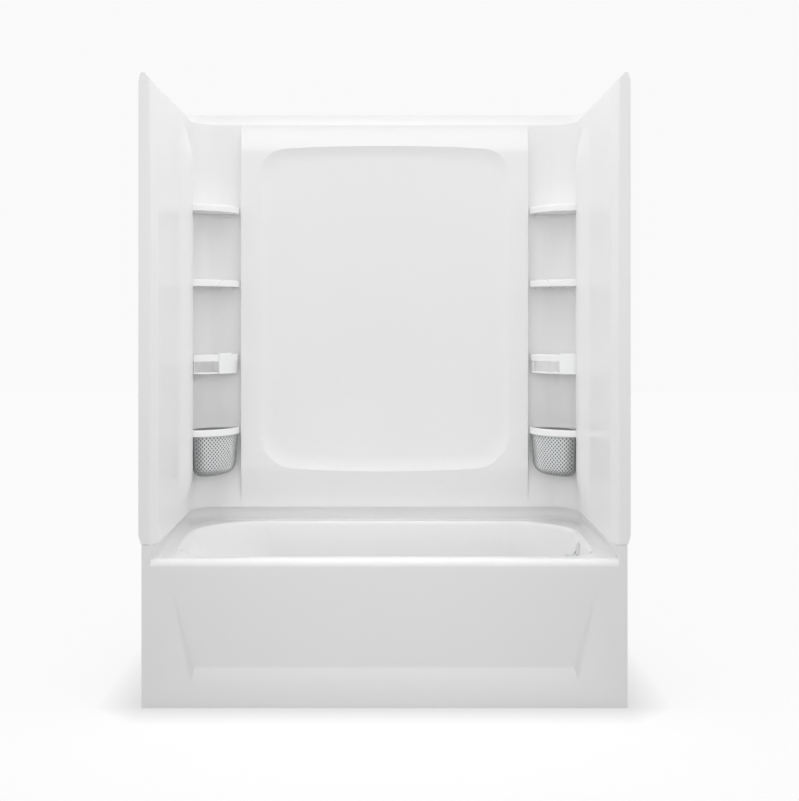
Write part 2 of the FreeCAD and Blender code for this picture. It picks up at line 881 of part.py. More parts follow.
def dish_solid(y_face, run_out):
    """The shallow dished space, from its deepest plane out past the wall's face"""
    wires = []
    for share in dish_slope_shares:
        depth_share = 1 - (1 - share) ** 2
        wires.append(dish_wire(dish_slope * share, y_face + dish_depth * depth_share))
    dish = Part.makeLoft(wires, True, False)
    mouth = Part.Face(dish_wire(0, y_face)).extrude(Vector(0, -run_out, 0))
    return [dish, mouth]


def shelf_bosses():
    """The small moulded ledges on which the left tower's accessories sit"""
    bosses = []
    for rim_top in rim_tops:
        top = rim_top - rim_height - seat_gap
        low = top - boss_height
        x_low = boss_start - niche_x
        x_high = boss_end - niche_x
        bosses.append(block(x_low, x_high, niche_y - boss_reach, niche_y + skin / 2, low, top))
        y_low = niche_y - boss_end
        y_high = niche_y - boss_start
        bosses.append(block(-niche_x - skin / 2, boss_reach - niche_x, y_low, y_high, low, top))
    return bosses


def behind_face(flare):
    """The space behind the middle of the back wall's flared face"""
    foot, top = flare_heights(flare)
    far_side = niche_y + skin + dish_depth
    points = [Vector(-dish_half_width - overrun, far_side, foot[0])]
    for height in foot + top:
        y = niche_y - bulge(height, flare) + skin / 2
        points.append(Vector(-dish_half_width - overrun, y, height))
    points.append(Vector(-dish_half_width - overrun, far_side, top[-1]))
    outline = Part.Face(Part.makePolygon(points + points[:1]))
    return outline.extrude(Vector(2 * (dish_half_width + overrun), 0, 0))


def back_wall():
    """The back wall with its two corner towers, dished panel, plates and nailing flange"""
    flare = (back_flare_top, back_flare_rise)
    panel = wall_panel(back_wall_line, back_wall_radii, (), flare)
    y_start = seam_y + seam_gap + skin / 2
    inner = alcove_prism(wall_inset - skin / 2, wall_foot - overrun, unit_height)
    foot = alcove_prism(half_width - joint_flange_reach, wall_foot, wall_foot + skin, y_start)
    foot = foot.cut(inner)
    ring = [
        Vector(-wall_flange_plane, y_start, 0),
        Vector(-wall_flange_plane, back, 0),
        Vector(wall_flange_plane, back, 0),
        Vector(wall_flange_plane, y_start, 0),
    ]
    outline = trace([Vector(p.x, p.y, ledge_height - skin) for p in ring],
                    (0, wall_flange_corner, wall_flange_corner, 0), ())
    closing = [line(outline[-1].Vertexes[-1].Point, outline[0].Vertexes[0].Point)]
    whole = prism(outline + closing, unit_height - ledge_height + skin)
    ledge = whole.cut(block(-half_width, half_width, front, back + overrun,
                            ledge_height, unit_height + overrun)).cut(inner)
    inside = [Vector(p.x - math.copysign(skin, p.x), p.y, ledge_height - skin) for p in ring]
    inside[0].y = y_start - overrun
    inside[3].y = y_start - overrun
    inside[1].y = back - skin
    inside[2].y = back - skin
    inner_line = trace(inside, (0, wall_flange_corner - skin, wall_flange_corner - skin, 0), ())
    closing = [line(inner_line[-1].Vertexes[-1].Point, inner_line[0].Vertexes[0].Point)]
    room = prism(inner_line + closing, unit_height - ledge_height + skin + overrun)
    flange = whole.cut(room)
    y_face = niche_y - bulge_depth
    behind_panel = joined(dish_solid(y_face + skin, skin)).common(behind_face(flare))
    dish = joined(dish_solid(y_face, bulge_depth))
    left_bosses = shelf_bosses()
    right_bosses = [mirrored(boss) for boss in left_bosses]
    wall = joined([panel, foot, ledge, flange, behind_panel] + left_bosses + right_bosses)
    return wall.cut(dish)


# Seals and clips between the mouldings

def foot_seal():
    """The foam strip under the walls, on the bath's rim ledge"""
    outer = half_width - joint_flange_reach + foot_gap
    inner = rim_inset - foot_gap
    strip = alcove_prism(outer, ledge_top, wall_foot, front + front_flange_bead)
    return strip.cut(alcove_prism(inner, ledge_top - overrun, wall_foot + overrun))


def seam_seals():
    """The two foam strips between the joint flanges of the walls"""
    x_low = skin - joint_flange_reach
    x_high = -niche_x - bath_wall
    strip = block(x_low, x_high, seam_y, seam_y + seam_gap, wall_foot, ledge_height - skin)
    return Part.makeCompound([strip, mirrored(strip)])


def wall_clips():
    """Spring-steel channels that pinch the joint flanges from behind"""
    y_low = seam_y - skin
    y_high = seam_y + seam_gap + skin
    x_back = -joint_flange_reach
    clips = []
    for share in clip_shares:
        height = wall_foot + share * (ledge_height - wall_foot)
        z_low = height - clip_length / 2
        z_high = height + clip_length / 2
        outer = block(x_back - clip_metal, x_back + clip_grip, y_low - clip_metal,
                      y_high + clip_metal, z_low, z_high)
        room = block(x_back, x_back + clip_grip + overrun, y_low, y_high, z_low - overrun,
                     z_high + overrun)
        clip = outer.cut(room)
        clips += [clip, mirrored(clip)]
    return Part.makeCompound(clips)


# The corner accessories, drawn in the left tower

def tower_point(p, q, z):
    """A point p along the back wall and q along the end wall from the tower's corner"""
    return Vector(p - niche_x, niche_y - q, z)


def quarter_outline(inset, reach, height):
    """The outline of a corner piece: two sides, a coved corner, a bowed front and cut ends

    The ends are cut at 45 degrees so that the piece can be drawn out between the tower's lips.
    """
    limit = min(corner_span - (front_reach - reach) * math.sqrt(2),
                math.sqrt(reach ** 2 - inset ** 2) - inset - least_chamfer)
    far = (limit + math.sqrt(2 * reach ** 2 - limit ** 2)) / 2
    near = far - limit
    cove = min(niche_corner_radius, inset + limit - least_side)
    lean = cove - (cove - inset) * math.sqrt(0.5)
    middle = reach * math.sqrt(0.5)
    spots = [(limit + inset, inset), (cove, inset), (inset, cove), (inset, limit + inset),
             (near, far), (far, near)]
    points = [tower_point(p, q, height) for p, q in spots]
    return [
        line(points[0], points[1]),
        arc(points[1], tower_point(lean, lean, height), points[2]),
        line(points[2], points[3]),
        line(points[3], points[4]),
        arc(points[4], tower_point(middle, middle, height), points[5]),
        line(points[5], points[0]),
    ]


def quarter_prism(inset, reach, z_low, z_high):
    """A corner outline raised between two heights"""
    return prism(quarter_outline(inset, reach, z_low), z_high - z_low)


def sector(inner, outer, start, end, z_low, z_high):
    """A ring sector round the tower's corner, between two angles in degrees"""
    def spot(radius, angle):
        turn = math.radians(angle)
        return tower_point(radius * math.cos(turn), radius * math.sin(turn), z_low)

    middle = (start + end) / 2
    edges = [
        arc(spot(outer, start), spot(outer, middle), spot(outer, end)),
        line(spot(outer, end), spot(inner, end)),
        arc(spot(inner, end), spot(inner, middle), spot(inner, start)),
        line(spot(inner, start), spot(outer, start)),
    ]
    return prism(edges, z_high - z_low)


def soften(shape, radius, heights):
    """Round the outer edges of a corner piece that lie at the given heights"""
    chosen = []
    for edge in shape.Edges:
        bounds = edge.BoundBox
        for height in heights:
            flat = bounds.ZLength < running_gap and abs(bounds.ZMin - height) < running_gap
            if flat:
                chosen.append(edge)
    return shape.makeFillet(radius, chosen)


def shelf(top):
    """A plain corner shelf: a rimmed dish with a flat underside"""
    low = top - rim_height
    body = quarter_prism(niche_clearance, front_reach, low, top)
    body = soften(body, shelf_edge_radius, (low, top))
    hollow = quarter_prism(niche_clearance + shelf_lip_width, front_reach - shelf_lip_width,
                           low + shelf_floor, top + overrun)
    return body.cut(hollow)


def razor_shelf(top):
    """The corner shelf whose front rim has a leaning slot for a razor"""
    low = top - rim_height
    slot = block(-razor_slot_width / 2, razor_slot_width / 2, -razor_slot_depth, overrun,
                 -2 * rim_height, 2 * rim_height)
    slot.rotate(Vector(0, 0, 0), Vector(0, 1, 0), razor_slot_lean)
    slot.rotate(Vector(0, 0, 0), Vector(0, 0, 1), 45)
    half = front_reach * math.sqrt(0.5)
    slot.translate(tower_point(half, half, top))
    body = shelf(top)
    keep = quarter_prism(niche_clearance, front_reach + overrun, low + shelf_floor, top + overrun)
    return body.cut(slot.common(keep))


def tray(top, window_start, window_end):
    """The open tray: a rim ring, a low front lip and a window between them"""
    low = top - tray_height
    rim_low = top - rim_height
    reach = front_reach - tray_rim_setback
    ring = quarter_prism(niche_clearance, reach, rim_low, top)
    ring = soften(ring, shelf_edge_radius, (top,))
    top_wire = Part.Wire(quarter_outline(tray_body_inset, front_reach - tray_body_setback, rim_low))
    low_wire = Part.Wire(quarter_outline(tray_body_inset + tray_taper,
                                         front_reach - tray_body_setback - tray_taper, low))
    body = Part.makeLoft([low_wire, top_wire], True, True)
    room_inset = tray_body_inset + tray_taper + tray_wall
    room_reach = reach - tray_rim_width
    room = quarter_prism(room_inset, room_reach, low + tray_wall, top + overrun)
    whole = joined([ring, body]).cut(room)
    window = sector(room_reach - tray_wall, reach + overrun, window_start, window_end,
                    low + tray_lip_height, rim_low)
    return whole.cut(window)


def cup(top, turn):
    """The cup that clips over the tray's rim and slides along it"""
    reach = front_reach - tray_rim_setback
    plate_inner = reach + seat_gap
    plate_outer = plate_inner + cup_plate
    low = top - tray_height
    start = turn - cup_span / 2
    end = turn + cup_span / 2
    inner_start = turn - cup_inner_span / 2
    inner_end = turn + cup_inner_span / 2
    bridge_low = top + seat_gap
    bridge_high = bridge_low + cup_bridge
    cup_outer = reach - tray_rim_width - seat_gap
    cup_inner = cup_outer - cup_depth
    plate = sector(plate_inner, plate_outer, start, end, low, bridge_high)
    bridge = sector(cup_outer - cup_wall, plate_outer, start, end, bridge_low, bridge_high)
    bucket_low = bridge_high - cup_drop
    bucket = sector(cup_inner, cup_outer, inner_start, inner_end, bucket_low, bridge_high)
    wall_turn = math.degrees(cup_wall / cup_inner)
    room = sector(cup_inner + cup_wall, cup_outer - cup_wall, inner_start + wall_turn,
                  inner_end - wall_turn, bucket_low + cup_wall, bridge_high + overrun)
    return joined([plate, bridge, bucket]).cut(room)


def basket_rim(top):
    """The white rim that carries the perforated basket"""
    low = top - rim_height
    ring = quarter_prism(niche_clearance, front_reach, low, top)
    ring = soften(ring, shelf_edge_radius, (low, top))
    room_inset = basket_inset + basket_wall
    room_reach = front_reach - basket_setback - basket_wall - basket_wall
    return ring.cut(quarter_prism(room_inset, room_reach, low - overrun, top + overrun))


def basket_form(top, offset):
    """The basket's outer or inner form: tapered sides and a round foot"""
    rim_low = top - rim_height
    low = rim_low - basket_drop + offset
    foot = basket_foot_radius - offset
    wires = []
    for share in basket_foot_shares:
        rise = share * foot
        drawn = foot - math.sqrt(foot ** 2 - (foot - rise) ** 2)
        height = low + rise
        taper = basket_taper * (rim_low - height) / basket_drop
        wires.append(Part.Wire(quarter_outline(basket_inset + offset + taper + drawn,
                                               front_reach - basket_setback - offset - taper - drawn,
                                               height)))
    wires.append(Part.Wire(quarter_outline(basket_inset + offset,
                                           front_reach - basket_setback - offset, rim_low)))
    return Part.makeLoft(wires, True, True)


def basket_collar(top):
    """The basket's upper edge, which stands inside the white rim, and the step that carries it"""
    rim_low = top - rim_height
    step_low = rim_low - basket_wall
    half_wall = basket_wall / 2
    reach = front_reach - basket_setback
    step = quarter_prism(basket_inset + half_wall, reach - half_wall, step_low, rim_low)
    inset = basket_inset + basket_wall + seat_gap
    collar_reach = reach - 2 * basket_wall - seat_gap
    collar = quarter_prism(inset, collar_reach, step_low, top - collar_margin)
    room = quarter_prism(inset + collar_wall, collar_reach - collar_wall,
                         step_low - overrun, top + overrun)
    return joined([step, collar]).cut(room)


def mesh_tool(angle, height, reach):
    """A diamond-shaped bar that cuts one hole through the basket's bowed front"""
    half = mesh_hole / 2
    centre_turn = math.radians(angle)
    along = Vector(math.cos(centre_turn), -math.sin(centre_turn), 0)
    across = Vector(math.sin(centre_turn), math.cos(centre_turn), 0)
    origin = tower_point(0, 0, height) + along * (reach - basket_taper - mesh_overcut)
    corners = [
        origin + across * half,
        origin + Vector(0, 0, half),
        origin - across * half,
        origin - Vector(0, 0, half),
    ]
    face = Part.Face(Part.makePolygon(corners + corners[:1]))
    return face.extrude(along * (basket_taper + mesh_overcut + overrun))


def basket(top):
    """The perforated basket that hangs under its rim"""
    body = basket_form(top, 0).cut(basket_form(top, basket_wall))
    reach = front_reach - basket_setback
    high = top - rim_height - basket_border
    low = top - rim_height - basket_drop + basket_foot_radius
    pitch_turn = (mesh_end - mesh_start) / mesh_columns
    pitch_rise = (high - low) / mesh_rows
    tools = []
    for row in range(mesh_rows + 1):
        height = low + row * pitch_rise
        odd = row % 2
        for column in range(mesh_columns + 1 - odd):
            angle = mesh_start + (column + odd / 2) * pitch_turn
            tools.append(mesh_tool(angle, height, reach))
    return joined([body.cut(tools), basket_collar(top)])


# The waste and overflow

def waste_places():
    """The seat, planes and axes of the waste set, worked out from the bath's drain end"""
    spot, outward, lean = overflow_frame()
    seat = spot + outward * overflow_seat_depth
    wall_out = spot + outward * (bath_wall + overflow_pad_depth)
    far_side = wall_out.x + gasket_radius * math.sin(lean) + gasket_least
    standpipe = far_side + elbow_flange + elbow_reach
    pivot = seat + outward * lever_pivot_set
    return {
        "seat": seat, "outward": outward, "lean": lean, "wall_out": wall_out,
        "far_side": far_side, "standpipe": standpipe, "pivot": pivot,
    }


def on_seat(shape):
    """Turn a shape drawn on the floor plane so that it lies on the overflow's leaning seat"""
    places = waste_places()
    turned = shape.copy()
    turned.rotate(Vector(0, 0, 0), Vector(0, 1, 0), math.degrees(places["lean"]) - 90)
    turned.translate(places["seat"])
    return turned


def dome_form(radius, edge, rise, drop):
    """A disc with a domed top, lowered by a drop"""
    sphere_radius = (plate_radius ** 2 + rise ** 2) / (2 * rise)
    top = edge + rise - drop
    disc = rod(radius, Vector(0, 0, -drop), Vector(0, 0, 1), edge + 2 * rise)
    return disc.common(Part.makeSphere(sphere_radius, Vector(0, 0, top - sphere_radius)))


def dome_height(distance):
    """Height of the plate's domed face over its seat at a distance from the middle"""
    sphere_radius = (plate_radius ** 2 + plate_dome ** 2) / (2 * plate_dome)
    sag = sphere_radius - math.sqrt(sphere_radius ** 2 - distance ** 2)
    return plate_edge + plate_dome - sag


def overflow_plate():
    """The domed cover plate, with the lever's slot and its two bracket ears"""
    cap = dome_form(plate_radius, plate_edge, plate_dome, 0)
    room = dome_form(plate_radius - plate_metal, plate_edge, plate_dome, plate_metal)
    cap = cap.cut(room)
    ear_inner = lever_hub_half + seat_gap
    ear = block(-bracket_half_height, bracket_half_height, ear_inner,
                ear_inner + bracket_thickness, -lever_pivot_set - bracket_half_height,
                plate_edge + plate_dome - plate_metal / 2)
    other = ear.mirror(Vector(0, 0, 0), Vector(0, 1, 0))
    reach = lever_pivot_set + plate_edge + plate_dome
    steepest = waste_places()["lean"] + math.radians(lever_swing)
    slot_half = reach * math.tan(steepest) + lever_radius / math.cos(steepest) + edge_soft / 2
    slot = block(-slot_half, slot_half, -ear_inner, ear_inner, -overrun,
                 plate_edge + plate_dome + overrun)
    pin_hole = rod(lever_pin_radius + running_gap / 2,
                   Vector(0, -lever_pin_half - overrun, -lever_pivot_set),
                   Vector(0, 1, 0), 2 * (lever_pin_half + overrun))
    plate = joined([cap, ear, other]).cut([slot, pin_hole])
    for side in (-1, 1):
        plate = plate.cut(rod(screw_radius + running_gap, Vector(0, side * screw_offset, -overrun),
                              Vector(0, 0, 1), plate_radius))
    return on_seat(plate)


def plate_screws():
    """The two screws that hold the plate to the overflow head"""
    places = waste_places()
    under_head = dome_height(screw_offset - screw_head_radius)
    gap = (places["far_side"] - places["seat"].x) / places["outward"].x
    length = under_head + gap + lug_length - edge_soft
    screws = []
    for side in (-1, 1):
        y = side * screw_offset
        head = rod(screw_head_radius, Vector(0, y, under_head + seat_gap), Vector(0, 0, 1),
                   screw_head_height)
        head = soften(head, edge_soft / 2, (under_head + seat_gap + screw_head_height,))
        shank = rod(screw_radius, Vector(0, y, under_head + seat_gap - length), Vector(0, 0, 1),
                    length)
        screws.append(on_seat(joined([head, shank])))
    return Part.makeCompound(screws)


def lever_pin():
    """The fixed pin on which the trip lever swings"""
    pivot = waste_places()["pivot"]
    return rod(lever_pin_radius, pivot - Vector(0, lever_pin_half, 0), Vector(0, 1, 0),
               2 * lever_pin_half)


def trip_lever():
    """The lever: a knobbed handle, a hub and a forked arm with its cross pin"""
    places = waste_places()
    pivot = places["pivot"]
    arm = places["standpipe"] - pivot.x
    hub = rod(lever_hub_radius, pivot - Vector(0, lever_hub_half, 0), Vector(0, 1, 0),
              2 * lever_hub_half)
    handle_length = lever_pivot_set + plate_edge + plate_dome + lever_reach
    handle = rod(lever_radius, pivot, Vector(-1, 0, 0), handle_length)
    knob = Part.makeSphere(lever_knob_radius, pivot - Vector(handle_length, 0, 0))
    tine_outer = lever_tine_gap + lever_tine
    tine = block(pivot.x, pivot.x + arm, pivot.y + lever_tine_gap, pivot.y + tine_outer,
                 pivot.z - lever_arm_half, pivot.z + lever_arm_half)
    tip = Vector(pivot.x + arm, pivot.y, pivot.z)
    tip_eye = rod(lever_arm_half, tip + Vector(0, lever_tine_gap, 0), Vector(0, 1, 0), lever_tine)
    tine = joined([tine, tip_eye])
    other = tine.mirror(pivot, Vector(0, 1, 0))
    cross_pin = rod(lever_pin_radius, tip - Vector(0, tine_outer, 0), Vector(0, 1, 0),
                    2 * tine_outer)
    lever = joined([hub, handle, knob, tine, other, cross_pin])
    bore = rod(lever_pin_radius + running_gap, pivot - Vector(0, lever_pin_half, 0),
               Vector(0, 1, 0), 2 * lever_pin_half)
    return lever.cut(bore)


def lift_rod():
    """The rod that hangs on the lever's cross pin and carries the plunger"""
    places = waste_places()
    top = Vector(places["standpipe"], drain_y, places["pivot"].z)
    eye = block(top.x - rod_eye_length, top.x + rod_eye_length, drain_y - rod_eye_half,
                drain_y + rod_eye_half, top.z - rod_eye_height, top.z + rod_eye_height)
    neck = block(top.x - rod_radius, top.x + rod_radius, drain_y - rod_eye_half,
                 drain_y + rod_eye_half, top.z - rod_neck_length, top.z)
    slot = block(top.x - rod_slot_length, top.x + rod_slot_length, drain_y - overrun,
                 drain_y + overrun, top.z - rod_slot_height, top.z + rod_slot_height)
    foot = plunger_foot() + plunger_height - plunger_cap
    bar = rod(rod_radius, Vector(top.x, drain_y, foot), Vector(0, 0, 1),
              top.z - rod_neck_length + edge_soft - foot)
    return joined([eye, neck, bar]).cut(slot)


def plunger_foot():
    """The plunger's lower edge at rest: with the lever down it is level with the side inlet"""
    places = waste_places()
    stroke = (places["standpipe"] - places["pivot"].x) * math.radians(lever_swing)
    return branch_height + stroke - plunger_height / 2


def rod_nut():
    """The lock nut that fixes the plunger's height on the rod"""
    x = waste_places()["standpipe"]
    low = plunger_foot() + plunger_height
    return pipe(rod_nut_radius, rod_radius, Vector(x, drain_y, low), Vector(0, 0, 1),
                rod_nut_height)


def plunger():
    """The hollow plunger that closes the tee's side inlet and lets the overflow pass"""
    x = waste_places()["standpipe"]
    foot = plunger_foot()
    wall = pipe(plunger_radius, plunger_radius - plunger_wall, Vector(x, drain_y, foot),
                Vector(0, 0, 1), plunger_height)
    z_low = foot + plunger_height - plunger_cap
    reach = plunger_radius - plunger_wall / 2
    bar = block(x - reach, x + reach, drain_y - rod_nut_radius, drain_y + rod_nut_radius,
                z_low, z_low + plunger_cap)
    hole = rod(rod_radius, Vector(x, drain_y, z_low - overrun), Vector(0, 0, 1),
               plunger_cap + 2 * overrun)
    return joined([wall, bar]).cut(hole)


def overflow_gasket():
    """The tapered rubber washer between the leaning bath end and the upright elbow"""
    places = waste_places()
    run = places["far_side"] - places["wall_out"].x + gasket_radius
    centre = Vector(places["far_side"], drain_y, overflow_height)
    body = rod(gasket_radius, centre - Vector(run, 0, 0), Vector(1, 0, 0), run)
    bath_side = rod(long_reach, places["wall_out"], -places["outward"], long_reach)
    hole = rod(overflow_hole_radius - bath_wall, centre - Vector(run + overrun, 0, 0),
               Vector(1, 0, 0), run + 2 * overrun)
    return body.cut(bath_side).cut(hole)


def lug_rods(radius, reach):
    """Round bars along the two plate screws, from the elbow's flange outwards"""
    places = waste_places()
    bars = []
    gap = (places["far_side"] - places["seat"].x) / places["outward"].x
    for side in (-1, 1):
        start = places["seat"] + places["outward"] * gap + Vector(0, side * screw_offset, 0)
        bars.append(rod(radius, start - places["outward"] * reach[0], places["outward"],
                        reach[0] + reach[1]))
    return bars


def overflow_elbow():
    """The overflow head: a flange with two tapped lugs and a turn down to the standpipe"""
    places = waste_places()
    far_side = places["far_side"]
    standpipe = places["standpipe"]
    centre = Vector(far_side, drain_y, overflow_height)
    outer = elbow_bore + elbow_wall
    socket = pipe_radius + elbow_wall
    flange = rod(gasket_radius, centre, Vector(1, 0, 0), elbow_flange)
    neck = rod(outer, centre, Vector(1, 0, 0), standpipe - far_side)
    foot = Vector(standpipe, drain_y, overflow_height - elbow_drop)
    drop = rod(socket, foot, Vector(0, 0, 1), elbow_drop)
    dome = Part.makeSphere(socket, Vector(standpipe, drain_y, overflow_height))
    lugs = lug_rods(screw_head_radius + edge_soft, (0, lug_length))
    body = joined([flange, neck, drop, dome] + lugs)
    way_in = rod(elbow_bore, centre - Vector(overrun, 0, 0), Vector(1, 0, 0),
                 standpipe - far_side + overrun)
    way_down = rod(elbow_bore, foot - Vector(0, 0, overrun), Vector(0, 0, 1),
                   elbow_drop + overrun)
    hollow = Part.makeSphere(elbow_bore, Vector(standpipe, drain_y, overflow_height))
    tube_seat = rod(pipe_radius + running_gap, foot - Vector(0, 0, overrun), Vector(0, 0, 1),
                    tube_overlap + overrun)
    face = block(far_side - lug_length, far_side, drain_y - plate_radius, drain_y + plate_radius,
                 overflow_height - plate_radius, overflow_height + plate_radius)
    body = body.cut([way_in, way_down, hollow, tube_seat, face])
    return body.cut(lug_rods(screw_radius + running_gap, (overrun, lug_length + overrun)))


def overflow_tube():
    """The standpipe from the overflow head down into the tee"""
    standpipe = waste_places()["standpipe"]
    low = tee_top - tube_overlap
    high = overflow_height - elbow_drop + tube_overlap - seat_gap
    return pipe(pipe_radius, pipe_bore, Vector(standpipe, drain_y, low), Vector(0, 0, 1), high - low)


def waste_tee():
    """The tee that joins the shoe, the standpipe and the tailpiece"""
    standpipe = waste_places()["standpipe"]
    outer = pipe_radius + tee_wall
    foot = Vector(standpipe, drain_y, tee_foot)
    branch_end = standpipe - outer - tube_overlap * 2
    upright = rod(outer, foot, Vector(0, 0, 1), tee_top - tee_foot)
    branch = rod(outer, Vector(branch_end, drain_y, branch_height), Vector(1, 0, 0),
                 standpipe - branch_end)
    body = joined([upright, branch])
    low_way = rod(plunger_radius + seat_gap, foot - Vector(0, 0, overrun), Vector(0, 0, 1),
                  tee_top - tee_foot + 2 * overrun)
    socket_top = rod(pipe_radius + running_gap, Vector(standpipe, drain_y, tee_top - tube_overlap),
                     Vector(0, 0, 1), tube_overlap + overrun)
    socket_low = rod(pipe_radius + running_gap, foot - Vector(0, 0, overrun), Vector(0, 0, 1),
                     tube_overlap / 2 + overrun)
    side_way = rod(plunger_radius, Vector(branch_end - overrun, drain_y, branch_height),
                   Vector(1, 0, 0), standpipe - branch_end + overrun)
    side_socket = rod(pipe_radius + running_gap,
                      Vector(branch_end - overrun, drain_y, branch_height),
                      Vector(1, 0, 0), tube_overlap + overrun)
    return body.cut([low_way, socket_top, socket_low, side_way, side_socket])


def slip_joints():
    """The seat, the way the pipe leaves and the socket's outer radius of each slip joint"""
    standpipe = waste_places()["standpipe"]
    tee_outer = pipe_radius + tee_wall
    elbow_foot = overflow_height - elbow_drop
    branch_end = standpipe - tee_outer - tube_overlap * 2
    return [
        (Vector(standpipe, drain_y, elbow_foot), Vector(0, 0, -1), pipe_radius + elbow_wall),
        (Vector(standpipe, drain_y, tee_top), Vector(0, 0, 1), tee_outer),
        (Vector(branch_end, drain_y, branch_height), Vector(-1, 0, 0), tee_outer),
        (Vector(standpipe, drain_y, tee_foot), Vector(0, 0, -1), tee_outer),
    ]


def slip_nuts():
    """The nuts of the slip joints, each with flats and a lip round its pipe"""
    on_socket = nut_height - nut_lip - washer_height
    nuts = []
    for seat, way, outer in slip_joints():
        start = seat - way * on_socket
        side = Vector(0, 1, 0)
        corner = side * ((outer + nut_wall) / math.cos(math.pi / nut_sides))
        corners = []
        for step in range(nut_sides + 1):
            turn = FreeCAD.Rotation(way, 360.0 * step / nut_sides)
            corners.append(start + turn.multVec(corner))
        nut = Part.Face(Part.makePolygon(corners)).extrude(way * nut_height)
        room = rod(outer + running_gap, start - way * overrun, way,
                   on_socket + washer_height + overrun)
        lip_way = rod(pipe_radius + running_gap, seat, way, nut_height * 2)
        nuts.append(nut.cut([room, lip_way]))
    return Part.makeCompound(nuts)


def slip_washers():
    """The rubber washers that the slip nuts press on their pipes"""
    washers = []
    for seat, way, outer in slip_joints():
        washers.append(pipe(outer, pipe_radius + running_gap, seat, way, washer_height))
    return Part.makeCompound(washers)


def drain_shoe():
    """The shoe under the drain and its run of pipe to the tee"""
    standpipe = waste_places()["standpipe"]
    top = floor_height - bath_wall - drain_pad_depth - shoe_gasket
    branch_end = standpipe - (pipe_radius + tee_wall) - tube_overlap * 2
    run_end = branch_end + tube_overlap - seat_gap
    cup_outer = thread_radius + shoe_wall
    flange = rod(shoe_flange_radius, Vector(drain_x, drain_y, top - shoe_flange), Vector(0, 0, 1),
                 shoe_flange)
    cup_low = branch_height - pipe_radius
    body = rod(cup_outer, Vector(drain_x, drain_y, cup_low), Vector(0, 0, 1), top - cup_low)
    run = rod(pipe_radius, Vector(drain_x, drain_y, branch_height), Vector(1, 0, 0),
              run_end - drain_x)
    shoe = joined([flange, body, run])
    well = rod(thread_radius + running_gap, Vector(drain_x, drain_y, cup_low + shoe_wall),
               Vector(0, 0, 1), top - cup_low)
    bore = rod(pipe_bore - shoe_wall, Vector(drain_x, drain_y, branch_height), Vector(1, 0, 0),
               run_end - drain_x + overrun)
    return shoe.cut([well, bore])


def shoe_washer():
    """The rubber washer between the bath's underside and the shoe"""
    low = floor_height - bath_wall - drain_pad_depth - shoe_gasket
    return pipe(shoe_flange_radius, drain_hole_radius, Vector(drain_x, drain_y, low),
                Vector(0, 0, 1), shoe_gasket)


def drain_flange():
    """The flanged drain body that screws down into the shoe"""
    seat = floor_height - drain_seat_depth
    base = Vector(drain_x, drain_y, seat)
    disc = rod(flange_radius, base, Vector(0, 0, 1), flange_thickness)
    low = floor_height - bath_wall - drain_pad_depth - shoe_gasket - nut_height / 2
    barrel = rod(thread_radius, Vector(drain_x, drain_y, low), Vector(0, 0, 1), seat - low)
    body = joined([disc, barrel])
    bore = rod(thread_radius - thread_wall, Vector(drain_x, drain_y, low - overrun),
               Vector(0, 0, 1), seat - low + flange_thickness + 2 * overrun)
    sink = rod(strainer_radius + seat_gap, base + Vector(0, 0, flange_thickness / 2),
               Vector(0, 0, 1), flange_thickness)
    body = body.cut([bore, sink])
    half = cross_bar / 2
    bars = []
    reach = thread_radius - thread_wall / 2
    for across in (0, 1):
        x_half = reach if across else half
        y_half = half if across else reach
        bars.append(block(drain_x - x_half, drain_x + x_half, drain_y - y_half, drain_y + y_half,
                          low, low + cross_bar))
    boss = rod(cross_bar, Vector(drain_x, drain_y, low), Vector(0, 0, 1), cross_bar * 2)
    body = joined([body, boss] + bars)
    tapped = rod(screw_radius + running_gap, Vector(drain_x, drain_y, low - overrun),
                 Vector(0, 0, 1), nut_height + overrun)
    return body.cut(tapped)


def strainer_level():
    """The height of the strainer's flat underside"""
    return floor_height - drain_seat_depth + flange_thickness / 2


def strainer():
    """The domed strainer with its ring of holes"""
    level = strainer_level()
    rise = strainer_dome
    radius = (strainer_radius ** 2 + rise ** 2) / (2 * rise)
    dome = Part.makeSphere(radius, Vector(drain_x, drain_y, level + rise + strainer_thickness
                                          - radius))
    inner = Part.makeSphere(radius, Vector(drain_x, drain_y, level + rise - radius))
    disc = rod(strainer_radius, Vector(drain_x, drain_y, level), Vector(0, 0, 1),
               rise + 2 * strainer_thickness)
    cap = disc.common(dome).cut(inner)
    tools = [rod(screw_radius + running_gap * 2, Vector(drain_x, drain_y, level - overrun),
                 Vector(0, 0, 1), short_reach)]
    for step in range(strainer_count):
        turn = 2 * math.pi * step / strainer_count
        spot = Vector(drain_x + strainer_ring * math.cos(turn),
                      drain_y + strainer_ring * math.sin(turn), level - overrun)
        tools.append(rod(strainer_hole, spot, Vector(0, 0, 1), short_reach))
    return cap.cut(tools)


def strainer_screw():
    """The screw that holds the strainer down"""
    level = strainer_level() + strainer_dome + strainer_thickness
    low = floor_height - bath_wall - drain_pad_depth - shoe_gasket - nut_height / 2
    head = rod(screw_head_radius, Vector(drain_x, drain_y, level), Vector(0, 0, 1),
               screw_head_height)
    head = soften(head, edge_soft / 2, (level + screw_head_height,))
    shank = rod(screw_radius, Vector(drain_x, drain_y, low), Vector(0, 0, 1), level - low)
    return joined([head, shank])


def tailpiece():
    """The outlet pipe at the foot of the tee, with a groove that marks how far a joint goes on"""
    foot = Vector(waste_places()["standpipe"], drain_y, tailpiece_foot)
    way = Vector(0, 0, 1)
    high = tee_foot + tube_overlap / 2 - seat_gap
    tube = pipe(pipe_radius, pipe_bore, foot, way, high - tailpiece_foot)
    mark = pipe(pipe_radius + overrun, pipe_radius - depth_mark_depth,
                foot + way * depth_mark_height, way, depth_mark_width)
    return tube.cut(mark)


